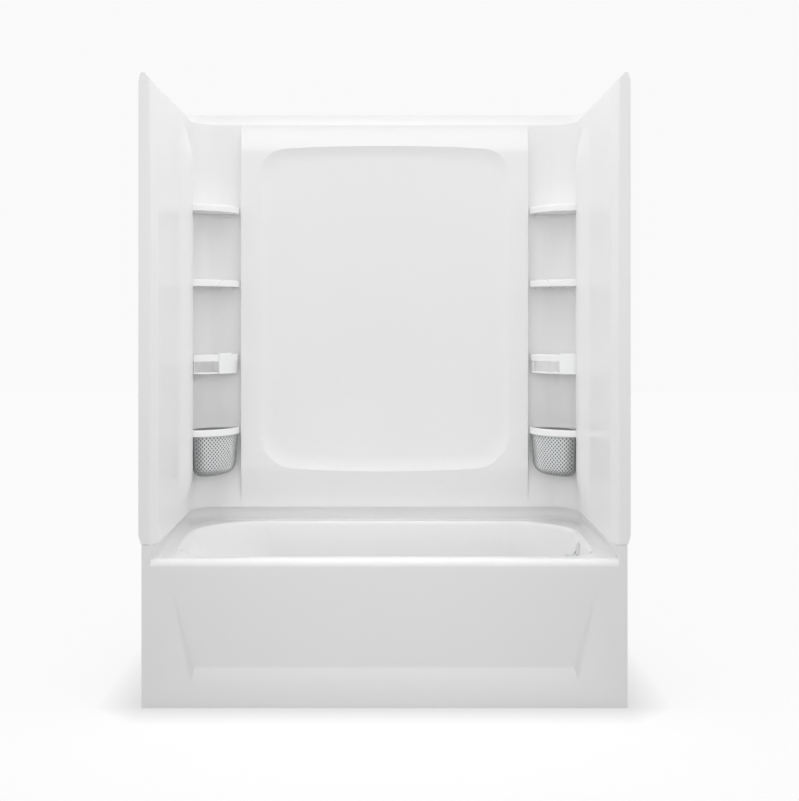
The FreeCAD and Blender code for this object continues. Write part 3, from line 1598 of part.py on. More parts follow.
def main():
    """Build every sub-part and write its file"""
    save("bath_shell", bath_shell())
    save("support_pad", support_pad())
    left_wall = left_end_wall()
    save("left_end_wall", left_wall)
    save("right_end_wall", mirrored(left_wall))
    save("back_wall", back_wall())
    save("foot_seal", foot_seal())
    save("seam_seals", seam_seals())
    save("wall_clips", wall_clips())
    shelf_top, razor_top, tray_top, basket_top = rim_tops
    left_pieces = {
        "top_shelf": shelf(shelf_top),
        "razor_shelf": razor_shelf(razor_top),
        "basket_rim": basket_rim(basket_top),
        "basket": basket(basket_top),
    }
    for name, shape in left_pieces.items():
        save("left_" + name, shape)
        save("right_" + name, mirrored(shape))
    save("left_tray", tray(tray_top, left_window_start, left_window_end))
    save("right_tray", mirrored(tray(tray_top, right_window_start, right_window_end)))
    save("left_tray_cup", cup(tray_top, left_cup_turn))
    save("right_tray_cup", mirrored(cup(tray_top, right_cup_turn)))
    save("overflow_plate", overflow_plate())
    save("plate_screws", plate_screws())
    save("lever_pin", lever_pin())
    save("trip_lever", trip_lever())
    save("lift_rod", lift_rod())
    save("rod_nut", rod_nut())
    save("plunger", plunger())
    save("overflow_gasket", overflow_gasket())
    save("overflow_elbow", overflow_elbow())
    save("overflow_tube", overflow_tube())
    save("waste_tee", waste_tee())
    save("slip_nuts", slip_nuts())
    save("slip_washers", slip_washers())
    save("drain_shoe", drain_shoe())
    save("shoe_washer", shoe_washer())
    save("drain_flange", drain_flange())
    save("drain_strainer", strainer())
    save("strainer_screw", strainer_screw())
    save("tailpiece", tailpiece())
    places = waste_places()
    print("lever pivot", places["pivot"], "standpipe at x", places["standpipe"])
    print("tower corner", niche_x, niche_y, "tower reach", tower_reach)


main()
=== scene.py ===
# %% [markdown]
# # A white bath and shower unit
# The object is an alcove bath with three glossy wall panels, corner shelves, trays with cups and
# perforated baskets. The construction comes as a fixed frame, in metres, with the floor at Z 0
# and the bather's side towards -Y. This lesson gives each visible moulding its smooth surface and
# each material its finish, and lights the whole in a plain white studio.

# %% Load the frame
import json
import math

import bmesh
import bpy
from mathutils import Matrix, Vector


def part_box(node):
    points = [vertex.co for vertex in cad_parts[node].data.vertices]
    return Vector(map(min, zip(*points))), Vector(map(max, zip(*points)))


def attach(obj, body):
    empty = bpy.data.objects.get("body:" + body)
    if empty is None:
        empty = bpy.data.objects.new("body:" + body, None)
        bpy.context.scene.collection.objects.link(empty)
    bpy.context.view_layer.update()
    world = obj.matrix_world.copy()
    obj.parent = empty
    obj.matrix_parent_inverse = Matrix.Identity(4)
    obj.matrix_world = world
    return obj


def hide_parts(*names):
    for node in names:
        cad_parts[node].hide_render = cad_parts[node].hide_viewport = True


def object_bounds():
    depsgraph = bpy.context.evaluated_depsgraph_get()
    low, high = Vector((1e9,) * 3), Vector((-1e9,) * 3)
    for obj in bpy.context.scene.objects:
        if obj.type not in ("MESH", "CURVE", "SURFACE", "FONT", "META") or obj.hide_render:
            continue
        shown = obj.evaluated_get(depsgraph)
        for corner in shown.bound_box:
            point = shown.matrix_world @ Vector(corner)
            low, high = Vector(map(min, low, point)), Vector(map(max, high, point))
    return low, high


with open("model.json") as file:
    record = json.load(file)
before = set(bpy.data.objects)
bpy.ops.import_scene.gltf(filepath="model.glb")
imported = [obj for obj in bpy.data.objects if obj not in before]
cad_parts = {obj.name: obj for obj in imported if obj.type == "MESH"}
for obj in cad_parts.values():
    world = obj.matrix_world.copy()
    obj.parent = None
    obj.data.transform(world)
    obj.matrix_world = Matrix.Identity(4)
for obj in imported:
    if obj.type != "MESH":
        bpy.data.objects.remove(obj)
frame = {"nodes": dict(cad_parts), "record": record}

frame_low, frame_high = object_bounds()

# %% [markdown]
# ## The camera
# The picture looks straight at the unit from a little over waist height. Its horizon lies above
# the picture's middle, so the view is moved down with lens shift instead of a tilt, and upright
# edges stay upright. The focal length comes from pixels: the picture is 799 by 801 pixels, and
# one metre at one metre's distance would cover 1137 of them.

# %% Camera
picture_width = 799
picture_height = 801
focal_pixels = 1137.0
centre_column = 384.5
horizon_row = 319.0
camera_distance = 3.565
camera_height = 1.220

camera_data = bpy.data.cameras.new("view")
camera = bpy.data.objects.new("view", camera_data)
bpy.context.scene.collection.objects.link(camera)
bpy.context.scene.camera = camera
camera.location = (0.0, frame_low.y - camera_distance, camera_height)
camera.rotation_euler = (math.pi / 2, 0.0, 0.0)
longer_side = max(picture_width, picture_height)
camera_data.lens = camera_data.sensor_width * focal_pixels / longer_side
camera_data.shift_x = (picture_width / 2 - centre_column) / longer_side
camera_data.shift_y = (horizon_row - picture_height / 2) / longer_side
print("lens", round(camera_data.lens, 2), "shift", camera_data.shift_x, camera_data.shift_y)

# %% [markdown]
# ## Writing materials as sums
# A material is a small calculation about each point of a surface. The first class below wraps one
# output of a node, so that `1 - mask * 0.3` adds the Math nodes that work it out. Every other
# node comes from one method, which takes the node's type, its settings and what its sockets hold.
# The room is a set of nodes too, so that method stands in a class of its own.

# %% Sockets that can be added and multiplied
class Signal:
    """One output of a node, with the plain sums that a finish needs"""

    def __init__(self, nodes, socket):
        self.nodes = nodes
        self.socket = socket

    def sum_with(self, operation, first, second):
        node = self.nodes.add("ShaderNodeMath", {"operation": operation}, {0: first, 1: second})
        return node["Value"]

    def __add__(self, other):
        return self.sum_with("ADD", self, other)

    __radd__ = __add__

    def __sub__(self, other):
        return self.sum_with("SUBTRACT", self, other)

    def __rsub__(self, other):
        return self.sum_with("SUBTRACT", other, self)

    def __mul__(self, other):
        return self.sum_with("MULTIPLY", self, other)

    def __pow__(self, other):
        return self.sum_with("POWER", self, other)

    def __abs__(self):
        return self.sum_with("ABSOLUTE", self, None)

    def at_least(self, other):
        return self.sum_with("MAXIMUM", self, other)

    def at_most(self, other):
        return self.sum_with("MINIMUM", self, other)


class Outputs:
    """The outputs of a node by name"""

    def __init__(self, nodes, node):
        self.nodes = nodes
        self.node = node

    def __getitem__(self, name):
        return Signal(self.nodes, self.node.outputs[name])


class Nodes:
    """The nodes of a material or of the room, under construction"""

    def __init__(self, owner):
        self.owner = owner
        owner.use_nodes = True
        self.tree = owner.node_tree
        self.tree.nodes.clear()

    def add(self, kind, settings, sockets):
        node = self.tree.nodes.new(kind)
        for setting, value in settings.items():
            setattr(node, setting, value)
        for name, value in sockets.items():
            if isinstance(value, Signal):
                self.tree.links.new(value.socket, node.inputs[name])
            elif value is not None:
                node.inputs[name].default_value = value
        return Outputs(self, node)


class Finish(Nodes):
    """A material under construction"""

    def __init__(self, name):
        super().__init__(bpy.data.materials.new(name))
        self.place = self.add("ShaderNodeTexCoord", {}, {})["Object"]

    def noise(self, scale, detail, place=None):
        """Soft random blotches, about 1 / scale metres wide, from nought to one"""
        sockets = {"Vector": place or self.place, "Scale": scale, "Detail": detail}
        return self.add("ShaderNodeTexNoise", {}, sockets)["Fac"]

    def stretched(self, scale):
        """The place on the piece, scaled apart along X, Y and Z"""
        return self.add("ShaderNodeMapping", {}, {"Vector": self.place, "Scale": scale})["Vector"]

    def axes(self, vector):
        """The three parts of a vector, named X, Y and Z"""
        return self.add("ShaderNodeSeparateXYZ", {}, {"Vector": vector})

    def between(self, mask, first, second):
        """A colour that goes from the first to the second as the mask rises"""
        settings = {"data_type": "RGBA"}
        sockets = {0: mask, 6: (*first, 1.0), 7: (*second, 1.0)}
        node = self.add("ShaderNodeMix", settings, sockets).node
        return Signal(self, node.outputs[2])

    def ramp(self, signal, start, width):
        """Nought up to the start, then rising to one over the width"""
        settings = {"operation": "MULTIPLY", "use_clamp": True}
        return self.add("ShaderNodeMath", settings, {0: signal - start, 1: 1.0 / width})["Value"]

    def relief(self, height, distance):
        """A bump of so many metres"""
        return self.add("ShaderNodeBump", {}, {"Height": height, "Distance": distance})["Normal"]

    def surface(self, sockets):
        """Close the material with its shader"""
        shader = self.add("ShaderNodeBsdfPrincipled", {}, sockets)["BSDF"]
        self.add("ShaderNodeOutputMaterial", {}, {"Surface": shader})
        return self.owner


def darker(colour, share):
    """The same colour with each channel brought down to a share of itself"""
    return [channel * share for channel in colour]


# %% [markdown]
# ## White acrylic
# The bath and the walls are vacuum-formed sheet: very smooth, with a faint orange-peel wave a few
# millimetres wide, and a little duller where hands and water have worked on it. The white is
# never quite even, so a wide soft blotch moves it by about one part in a hundred.

# %% White mouldings
blotch_scale = 1.7
blotch_shade = 0.985
peel_scale = 170.0
peel_height = 0.00004
wear_scale = 9.0
wear_detail = 4.0
wear_roughness = 0.06
soft_detail = 2.0
coat_roughness = 0.12


def white_moulding(name, colour, roughness, coat):
    """Glossy white sheet with a faint wave and a little wear"""
    finish = Finish(name)
    blotch = finish.noise(blotch_scale, soft_detail)
    peel = finish.noise(peel_scale, soft_detail)
    wear = finish.noise(wear_scale, wear_detail)
    return finish.surface({
        "Base Color": finish.between(blotch, darker(colour, blotch_shade), colour),
        "Roughness": roughness + wear * wear_roughness,
        "Normal": finish.relief(peel, peel_height),
        "Coat Weight": coat,
        "Coat Roughness": coat_roughness,
    })


bath_white = white_moulding("bath_white", (0.875, 0.875, 0.875), 0.16, 0.35)
wall_white = white_moulding("wall_white", (0.915, 0.915, 0.915), 0.30, 0.08)
shelf_white = white_moulding("shelf_white", (0.97, 0.97, 0.97), 0.16, 0.5)
cup_white = white_moulding("cup_white", (0.96, 0.965, 0.97), 0.20, 0.4)

# %% [markdown]
# ## Satin plastic and the baskets
# Moulds for satin plastic are eroded by sparks, which leaves a fine grain. The seals and the
# pipes have that grain all over. The baskets have it too, and two greys: the bowl is dark, and
# its bowed mesh front is pale on the outside, so that the strands stand out against the holes.
# The pale grey fades out towards the foot, and it also carries painted shade: it fades out
# towards the ends by the walls, under the rim as its painted shadow, and on faces that look
# backwards.

# %% Satin plastic
grain_blotch_scale = 12.0
grain_blotch_shade = 0.92
grain_detail = 3.0
grain_roughness = 0.12


def satin_grain(name, colour, roughness, grain, depth):
    """Plastic or rubber with a fine spark-eroded grain of so many metres' depth"""
    finish = Finish(name)
    fine = finish.noise(grain, grain_detail)
    blotch = finish.noise(grain_blotch_scale, soft_detail)
    return finish.surface({
        "Base Color": finish.between(blotch, darker(colour, grain_blotch_shade), colour),
        "Roughness": roughness + fine * grain_roughness,
        "Normal": finish.relief(fine, depth),
    })


# %% Basket plastic
basket_low, basket_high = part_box("left_basket")
basket_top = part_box("left_basket_rim")[0].z
rim_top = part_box("left_basket_rim")[1].z
basket_grain_scale = 500.0
basket_grain_depth = 0.00005
basket_roughness = 0.34

# where the pale grey begins, and the width over which it becomes full; all but the foot's fade are
# painted shade
facing_painted_shade_fade = (0.05, 0.1)
side_painted_shade_fade = (0.020, 0.035)
back_painted_shade_fade = (0.024, 0.040)
foot_fade = (0.010, 0.020)
rim_painted_shadow_fade = (-0.010, 0.024)


def basket_tone_and_painted_shade(name, strand, bowl):
    """Pale strands outside the bowed front over a dark bowl, with shade painted by walls, rim and
    inside
    """
    finish = Finish(name)
    fine = finish.noise(basket_grain_scale, grain_detail)
    place = finish.axes(finish.place)
    facing = finish.axes(finish.add("ShaderNodeTexCoord", {}, {})["Normal"])
    # painted shade: the pale grey is kept off faces turned away from the front, off the ends by
    # the walls, and from under the rim as its shadow; the foot's fade is the solid band's own grey
    front = finish.ramp(0.0 - facing["Y"], *facing_painted_shade_fade)
    side_painted_shade = finish.ramp(-basket_low.x - abs(place["X"]), *side_painted_shade_fade)
    back_painted_shade = finish.ramp(basket_high.y - place["Y"], *back_painted_shade_fade)
    off_foot = finish.ramp(place["Z"] - basket_low.z, *foot_fade)
    rim_painted_shadow = finish.ramp(basket_top - place["Z"], *rim_painted_shadow_fade)
    strand_tone_and_painted_shade = front * side_painted_shade * back_painted_shade * off_foot * rim_painted_shadow
    return finish.surface({
        "Base Color": finish.between(strand_tone_and_painted_shade, bowl, strand),
        "Roughness": basket_roughness + fine * grain_roughness,
        "Normal": finish.relief(fine, basket_grain_depth),
    })


# %% [markdown]
# ## Metal and foam
# Chrome is nearly a mirror, with smudges that only show in its roughness. Spring steel keeps the
# upright lines of the rolls that drew it. The pad under the bath is a block of pressed foam
# beads, drawn with a cell pattern.

# %% Metal and foam
film_scale = 60.0
film_detail = 5.0
film_shade = 0.96
film_relief = 0.00001
smudge_power = 3.0
line_scale = 90.0
line_detail = 4.0
line_stretch = (1.0, 1.0, 0.06)
line_shade = 0.85
line_roughness = 0.15
line_relief = 0.00003
bead_scale = 240.0
bead_shade = 0.8
bead_roughness = 0.8
bead_roughness_rise = 0.1
bead_relief = 0.0006


def polished_metal(name, colour, roughness, smudge):
    """A mirror with a film of smudges"""
    finish = Finish(name)
    film = finish.noise(film_scale, film_detail)
    return finish.surface({
        "Base Color": finish.between(film, darker(colour, film_shade), colour),
        "Metallic": 1.0,
        "Roughness": roughness + film ** smudge_power * smudge,
        "Normal": finish.relief(film, film_relief),
    })


def drawn_metal(name, colour, roughness):
    """Metal with the long fine lines of drawing or rolling"""
    finish = Finish(name)
    lines = finish.noise(line_scale, line_detail, finish.stretched(line_stretch))
    return finish.surface({
        "Base Color": finish.between(lines, darker(colour, line_shade), colour),
        "Metallic": 1.0,
        "Roughness": roughness + lines * line_roughness,
        "Normal": finish.relief(lines, line_relief),
    })


def bead_foam(name, colour):
    """Foam beads pressed together, each a small cushion with a darker seam"""
    finish = Finish(name)
    sockets = {"Vector": finish.place, "Scale": bead_scale}
    bead = finish.add("ShaderNodeTexVoronoi", {}, sockets)["Distance"]
    return finish.surface({
        "Base Color": finish.between(bead, colour, darker(colour, bead_shade)),
        "Roughness": bead_roughness + bead * bead_roughness_rise,
        "Normal": finish.relief(1.0 - bead, bead_relief),
    })


# %% Every finish by its slot in the frame's record
finishes = {
    "white_bath": bath_white,
    "white_wall": wall_white,
    "white_shelf": shelf_white,
    "cup_plastic": cup_white,
    # the basket finish has painted shade by the walls, under the rim and on its inside
    "grey_basket": basket_tone_and_painted_shade("basket_grey_painted_shade", (0.86, 0.87, 0.875), (0.30, 0.305, 0.31)),
    "dark_seal": satin_grain("seal_grey", (0.50, 0.50, 0.50), 0.75, 900.0, 0.0002),
    "foam": bead_foam("pad_foam", (0.82, 0.82, 0.80)),
    "spring_steel": drawn_metal("clip_steel", (0.55, 0.55, 0.56), 0.3),
    "chrome_trim": polished_metal("chrome", (0.82, 0.83, 0.85), 0.04, 0.25),
    "brass_part": polished_metal("brass", (0.75, 0.56, 0.26), 0.22, 0.3),
    "rubber_part": satin_grain("rubber_black", (0.02, 0.02, 0.02), 0.6, 700.0, 0.0001),
    "black_pipe": satin_grain("pipe_black", (0.025, 0.025, 0.027), 0.42, 400.0, 0.00006),
}

slot_of = {entry["node"]: entry["material_slot"] for entry in frame["record"]["subparts"]}
for name, node in frame["nodes"].items():
    node.data.materials.clear()
    node.data.materials.append(finishes[slot_of[name]])
print(len(finishes), "finishes on", len(slot_of), "frame nodes")

# %% [markdown]
# ## Working on one piece at a time
# An operator acts on everything that is selected, and loading the frame leaves all of it
# selected. So each piece starts with a clean selection, and its faces and edges are picked in
# code, by where they are and which way they face. A finished piece rides on the frame's body that
# moves it, and says which part of the frame it stands for.

# %% Selecting and finishing
body_of = {}
for body, held in frame["record"]["behaviour"]["bodies"].items():
    for node in held:
        body_of[node] = body


def take(piece):
    """Select one piece alone"""
    bpy.ops.object.select_all(action="DESELECT")
    piece.select_set(True)
    bpy.context.view_layer.objects.active = piece


def edit(piece):
    """Open one piece alone in edit mode, with nothing in it selected"""
    take(piece)
    bpy.ops.object.mode_set(mode="EDIT")
    bpy.ops.mesh.select_all(action="DESELECT")


def close():
    """Leave edit mode"""
    bpy.ops.object.mode_set(mode="OBJECT")


def pick(kind, test):
    """In edit mode, select just the faces, edges or corners that pass a test"""
    bpy.ops.mesh.select_mode(type=kind)
    bpy.ops.mesh.select_all(action="DESELECT")
    mesh = bmesh.from_edit_mesh(bpy.context.object.data)
    parts = {"FACE": mesh.faces, "EDGE": mesh.edges, "VERT": mesh.verts}[kind]
    chosen = [part for part in parts if test(part)]
    for part in chosen:
        part.select_set(True)
    mesh.select_flush_mode()
    bmesh.update_edit_mesh(bpy.context.object.data)
    return len(chosen)


def modify(kind, settings):
    """Give the active piece a modifier and apply it at once"""
    bpy.ops.object.modifier_add(type=kind)
    modifier = bpy.context.object.modifiers[-1]
    for setting, value in settings.items():
        setattr(modifier, setting, value)
    bpy.ops.object.modifier_apply(modifier=modifier.name)


def weld(piece, other):
    """Make another piece part of this one's mesh"""
    take(piece)
    other.select_set(True)
    bpy.ops.object.join()


def finish_piece(piece, *nodes):
    """Put a piece in the place of its frame nodes, on their body and in their finish"""
    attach(piece, body_of[nodes[0]])
    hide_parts(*nodes)
    piece.data.materials.clear()
    piece.data.materials.append(finishes[slot_of[nodes[0]]])
    print(piece.name, len(piece.data.polygons), "faces, stands for", nodes)


# %% [markdown]
# ## Smooth skins for the mouldings
# The frame's mouldings have the right shape, but every triangle stands alone, so gloss breaks up
# on them. A copy with its corners merged can be shaded smooth. Shading by angle keeps the true
# edges crisp, and weighted normals keep wide flat faces flat beside their small rounded edges.
# The dished panel of the back wall meets its surround at too small an angle for that, so its
# outline is marked sharp.

# %% Merged and smoothed copies
merge_distance = 0.00001
sliver_length = 0.00005
dish_half_width = 0.46
dish_low = 0.62
dish_high = 1.90
dish_back = 0.325
dish_least_turn = math.radians(10)
facing_bather = -0.9


def on_dish_outline(part):
    """Whether an edge is part of the crisp outline of the back wall's dished panel"""
    if len(part.link_faces) != 2:
        return False
    centre = (part.verts[0].co + part.verts[1].co) / 2
    near_dish = abs(centre.x) < dish_half_width and dish_low < centre.z < dish_high
    in_front = centre.y < dish_back
    faces_bather = all(face.normal.y < facing_bather for face in part.link_faces)
    return near_dish and in_front and faces_bather and part.calc_face_angle() > dish_least_turn


def skin_of(name, bend):
    """A merged copy of a frame node, smooth wherever it turns by less than the bend"""
    piece = bpy.data.objects.new(name + "_skin", frame["nodes"][name].data.copy())
    bpy.context.scene.collection.objects.link(piece)
    take(piece)
    if piece.data.has_custom_normals:
        bpy.ops.mesh.customdata_custom_splitnormals_clear()
    edit(piece)
    bpy.ops.mesh.select_all(action="SELECT")
    bpy.ops.mesh.remove_doubles(threshold=merge_distance)
    bpy.ops.mesh.dissolve_degenerate(threshold=sliver_length)
    if name == "back_wall":
        print("dish outline", pick("EDGE", on_dish_outline), "edges")
        bpy.ops.mesh.mark_sharp()
    close()
    bpy.ops.object.shade_smooth_by_angle(angle=math.radians(bend))
    modify("WEIGHTED_NORMAL", {"keep_sharp": True})
    finish_piece(piece, name)
    return piece


bath_bend = 50
wall_bend = 24
small_bend = 30

skin_of("bath_shell", bath_bend)
for name in ("back_wall", "left_end_wall", "right_end_wall"):
    skin_of(name, wall_bend)
for side in ("left", "right"):
    for name in ("top_shelf", "razor_shelf", "tray", "tray_cup", "basket_rim"):
        skin_of(side + "_" + name, small_bend)
for name in ("overflow_plate", "trip_lever", "overflow_elbow", "overflow_tube", "waste_tee",
             "drain_shoe", "tailpiece", "drain_flange", "drain_strainer", "overflow_gasket"):
    skin_of(name, small_bend)

# %% [markdown]
# ## The joint under the walls
# The walls stand on a thin flexible strip on the bath's rim. Its two front ends are trimmed flush
# with the walls' front flanges, so the joint shows there as a fine grey line and not as a black
# slit. The strip is a smoothed copy, and each front end is a small bar with eased edges joined to
# it.

# %% Foot seal
seal_low, seal_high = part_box("foot_seal")
end_across = 0.748
end_back = -0.3595
end_middle = 0.5115
end_width = 0.026
end_depth = 0.037
eased_edge = 0.0006
edge_steps = 2

seal = skin_of("foot_seal", small_bend)
for side in (-1.0, 1.0):
    bpy.ops.object.select_all(action="DESELECT")
    bpy.ops.mesh.primitive_cube_add(size=1.0, location=(side * end_across, end_back, end_middle),
                                    scale=(end_width, end_depth, seal_high.z - seal_low.z))
    end = bpy.context.object
    bpy.ops.object.transform_apply(location=True, rotation=True, scale=True)
    modify("BEVEL", {"width": eased_edge, "segments": edge_steps})
    weld(seal, end)
print("seal", round(seal_high.z - seal_low.z, 4), "high,", len(seal.data.polygons), "faces")

# %% [markdown]
# ## Perforated baskets
# Each basket is a thin moulded bowl whose bowed front is full of small diamond holes. It could be
# drawn with a cut-out material, but real holes show their depth and let light through. So the
# bowl is drawn in squares, the squares of its front are turned into diamonds, each diamond gets a
# smaller one inside it, and the small ones are deleted. The sheet that is left gets its thickness
# at the end.

# %% Basket outline
corner = Vector((-0.716, 0.335, 0.0))
diagonal = Vector((1.0, -1.0, 0.0)).normalized()
basket_reach = 0.1705
basket_inset = 0.011
end_cut = 0.1438
cove_centre = 0.099
cove_slack = 0.001
cell = 0.0145
cut_counts = (15, 11, 7, 5, 3, 2, 1)


def along(point):
    """How far a place is from the tower's corner along the back wall and along the end wall"""
    return point.x - corner.x, corner.y - point.y


def start_corner_sheet(name, reach, inset, height, cells_round):
    """A flat quarter disc in the left tower's corner, with its two ends cut at 45 degrees"""
    cut = end_cut - (basket_reach - reach) * math.sqrt(2.0)
    bpy.ops.object.select_all(action="DESELECT")
    bpy.ops.mesh.primitive_circle_add(vertices=cells_round, radius=reach, fill_type="NGON",
                                      location=(corner.x, corner.y, height))
    sheet = bpy.context.object
    sheet.name = name
    bpy.ops.object.transform_apply(location=True, rotation=True, scale=True)
    edit(sheet)
    cuts = [
        (corner + Vector((inset, 0.0, height)), Vector((-1.0, 0.0, 0.0))),
        (corner + Vector((0.0, -inset, height)), Vector((0.0, 1.0, 0.0))),
        (corner + Vector((0.0, -cut, height)), Vector((-1.0, -1.0, 0.0))),
        (corner + Vector((cut, 0.0, height)), Vector((1.0, 1.0, 0.0))),
    ]
    for spot, outward in cuts:
        bpy.ops.mesh.select_all(action="SELECT")
        bpy.ops.mesh.bisect(plane_co=spot, plane_no=outward, clear_outer=True)
    close()
    return sheet


def round_the_cove(inset, steps):
    """Round the open sheet's inner corner to follow the tower's coved corner"""
    def at_corner(point):
        return max(along(point.co)) < inset + cove_slack

    pick("VERT", at_corner)
    bpy.ops.mesh.bevel(offset=cove_centre - inset, segments=steps, affect="VERTICES",
                       clamp_overlap=False)


def divide_long_edges(longest):
    """Split each long edge of the outline into pieces of about the wanted length"""
    for cuts in cut_counts:
        def long_enough(part):
            return part.calc_length() > longest * (cuts + 0.5)

        if pick("EDGE", long_enough):
            bpy.ops.mesh.subdivide(number_cuts=cuts)


# %% [markdown]
# The bowl grows downwards from its top outline. Each step extrudes the closed outline by one row
# of cells and draws it in towards a point inside: a little for the taper, then faster round the
# foot. A few last steps draw the flat bottom together in rings.

# %% Basket bowl
bowl_cells_round = 74
cove_cells = 12
foot_radius = 0.050
foot_draw = 0.92
side_taper = 0.0060
draw_reach = 0.0849
draw_point = corner + diagonal * draw_reach
front_arm = basket_reach - draw_reach
bottom_rings = (0.75, 0.6, 0.5)
lid_facing = 0.99
lid_slack = 0.001


def bowl_levels():
    """Pairs of a depth under the rim and the share of the outline's size there"""
    straight = basket_top - basket_low.z - foot_radius
    rows = round(straight / cell)
    levels = []
    for row in range(1, rows + 1):
        share = row / rows
        levels.append((straight * share, 1.0 - side_taper * share / front_arm))
    turns = round(foot_radius * math.pi / 2 / cell)
    for turn in range(1, turns + 1):
        angle = math.pi / 2 * turn / turns
        drawn = side_taper + foot_radius * (1.0 - math.cos(angle)) * foot_draw
        levels.append((straight + foot_radius * math.sin(angle), 1.0 - drawn / front_arm))
    return levels


def is_lid(face):
    """Whether a face closes the bowl's mouth"""
    at_mouth = face.calc_center_median().z > basket_top - lid_slack
    return abs(face.normal.z) > lid_facing and at_mouth


bowl = start_corner_sheet("left_basket_bowl", basket_reach, basket_inset, basket_top,
                          bowl_cells_round)
edit(bowl)
round_the_cove(basket_inset, cove_cells)
divide_long_edges(cell)
pick("FACE", lambda face: True)
last_depth = 0.0
last_share = 1.0
for depth, share in bowl_levels():
    step = Vector((0.0, 0.0, last_depth - depth))
    bpy.ops.mesh.extrude_region_move(TRANSFORM_OT_translate={"value": step})
    ratio = share / last_share
    centre = draw_point + Vector((0.0, 0.0, basket_top - depth))
    bpy.ops.transform.resize(value=(ratio, ratio, 1.0), center_override=centre)
    last_depth = depth
    last_share = share
for ratio in bottom_rings:
    bpy.ops.mesh.extrude_region_move()
    bpy.ops.transform.resize(value=(ratio, ratio, 1.0), center_override=centre)
pick("FACE", is_lid)
bpy.ops.mesh.delete(type="FACE")
bpy.ops.mesh.select_all(action="SELECT")
bpy.ops.mesh.normals_make_consistent(inside=False)
close()
print("bowl", len(bowl.data.polygons), "cells")

# %% [markdown]
# Now the diamonds. Poking a square adds a point in its middle and four edges to its corners.
# Removing the old edges between two poked squares leaves diamonds that stand on their points,
# twice as many as there were squares. Squares at the border keep their outer edge, so a solid
# band stays round the holes.

# %% Basket holes
strand_half = 0.0009
first_turn = math.radians(11.0)
last_turn = math.radians(79.0)
least_facing = 0.45
front_depth = 0.045
top_band = 0.006
foot_band = 0.014
least_point = 0.0015


def on_mesh_front(face):
    """Whether a cell is one of the bowed front's, above the solid foot"""
    centre = face.calc_center_median()
    across, deep = along(centre)
    in_sector = first_turn < math.atan2(deep, across) < last_turn
    faces_out = face.normal.dot(diagonal) > least_facing
    bowed = math.hypot(across, deep) > basket_reach - front_depth
    in_band = basket_low.z + foot_band < centre.z < basket_top - top_band
    return in_sector and faces_out and bowed and in_band


def is_diamond(face):
    """Whether a face of the front stands on one of its points"""
    if len(face.verts) != 4 or not on_mesh_front(face):
        return False
    heights = sorted(point.co.z for point in face.verts)
    return heights[1] - heights[0] > least_point and heights[3] - heights[2] > least_point


def perforate(piece):
    """Turn the chosen squares into diamonds and open a hole in each"""
    edit(piece)
    count = pick("FACE", on_mesh_front)
    mesh = bmesh.from_edit_mesh(piece.data)
    inner = set()
    for part in mesh.edges:
        if len(part.link_faces) == 2 and all(face.select for face in part.link_faces):
            inner.add(frozenset(point.index for point in part.verts))
    bpy.ops.mesh.poke()
    pick("EDGE", lambda part: frozenset(point.index for point in part.verts) in inner)
    bpy.ops.mesh.dissolve_edges(use_verts=False)
    holes = pick("FACE", is_diamond)
    bpy.ops.mesh.inset(thickness=strand_half, use_individual=True)
    bpy.ops.mesh.delete(type="FACE")
    close()
    print(count, "cells became", holes, "holes")


perforate(bowl)

# %% [markdown]
# One level of subdivision rounds the holes' corners and the bowl's outline, and the wall's
# thickness goes inwards from there.

# %% Basket thickness
basket_wall = 0.0025
basket_bend = math.radians(38)

take(bowl)
modify("SUBSURF", {"levels": 1, "render_levels": 1})
modify("SOLIDIFY", {"thickness": basket_wall, "offset": -1.0})
bpy.ops.object.shade_smooth_by_angle(angle=basket_bend)

# %% [markdown]
# The bowl's upper edge stands up inside the white rim, so that the rim only shows as a bright
# hoop from outside and the grey plastic shows inside it. It is one thin ring: the same corner
# outline, a little smaller, raised and emptied.

# %% Basket collar
collar_reach = 0.1652
collar_inset = 0.0138
collar_cells_round = 216
collar_cove_cells = 14
collar_wall = 0.002
collar_low = basket_top - 0.0025
collar_high = rim_top - 0.003
facing_up_or_down = 0.9

collar = start_corner_sheet("collar", collar_reach, collar_inset, collar_low, collar_cells_round)
edit(collar)
round_the_cove(collar_inset, collar_cove_cells)
pick("FACE", lambda face: True)
rise = (0.0, 0.0, collar_high - collar_low)
bpy.ops.mesh.extrude_region_move(TRANSFORM_OT_translate={"value": rise})
pick("FACE", lambda face: abs(face.normal.z) > facing_up_or_down)
bpy.ops.mesh.delete(type="FACE")
bpy.ops.mesh.select_all(action="SELECT")
bpy.ops.mesh.normals_make_consistent(inside=False)
close()
modify("SOLIDIFY", {"thickness": collar_wall, "offset": -1.0})
modify("BEVEL", {"width": eased_edge, "segments": edge_steps})
bpy.ops.object.shade_smooth_by_angle(angle=basket_bend)
weld(bowl, collar)
print("bowl with its collar", len(bowl.data.polygons), "faces")

# %% [markdown]
# The right basket is the left one's mirror image. A mirror turns a mesh inside out, so its faces
# are turned over again.

# %% Baskets in both towers
def other_side(piece, name):
    """The same piece for the right tower: its own mesh, mirrored and turned right side out"""
    twin = bpy.data.objects.new(name, piece.data.copy())
    bpy.context.scene.collection.objects.link(twin)
    edit(twin)
    bpy.ops.mesh.select_all(action="SELECT")
    bpy.ops.transform.resize(value=(-1.0, 1.0, 1.0), center_override=(0.0, 0.0, 0.0))
    bpy.ops.mesh.flip_normals()
    close()
    return twin


right_bowl = other_side(bowl, "right_basket_bowl")
finish_piece(bowl, "left_basket")
finish_piece(right_bowl, "right_basket")

# %% [markdown]
# ## Studio
# The unit stands on a white floor in a white room. The room's own light comes from all round, and
# is dimmer for the object than it looks to the camera, to the gloss and to glass, so the
# background can be white without washing out the white mouldings.

# %% Room
room_level = 0.79
room_white = 0.95

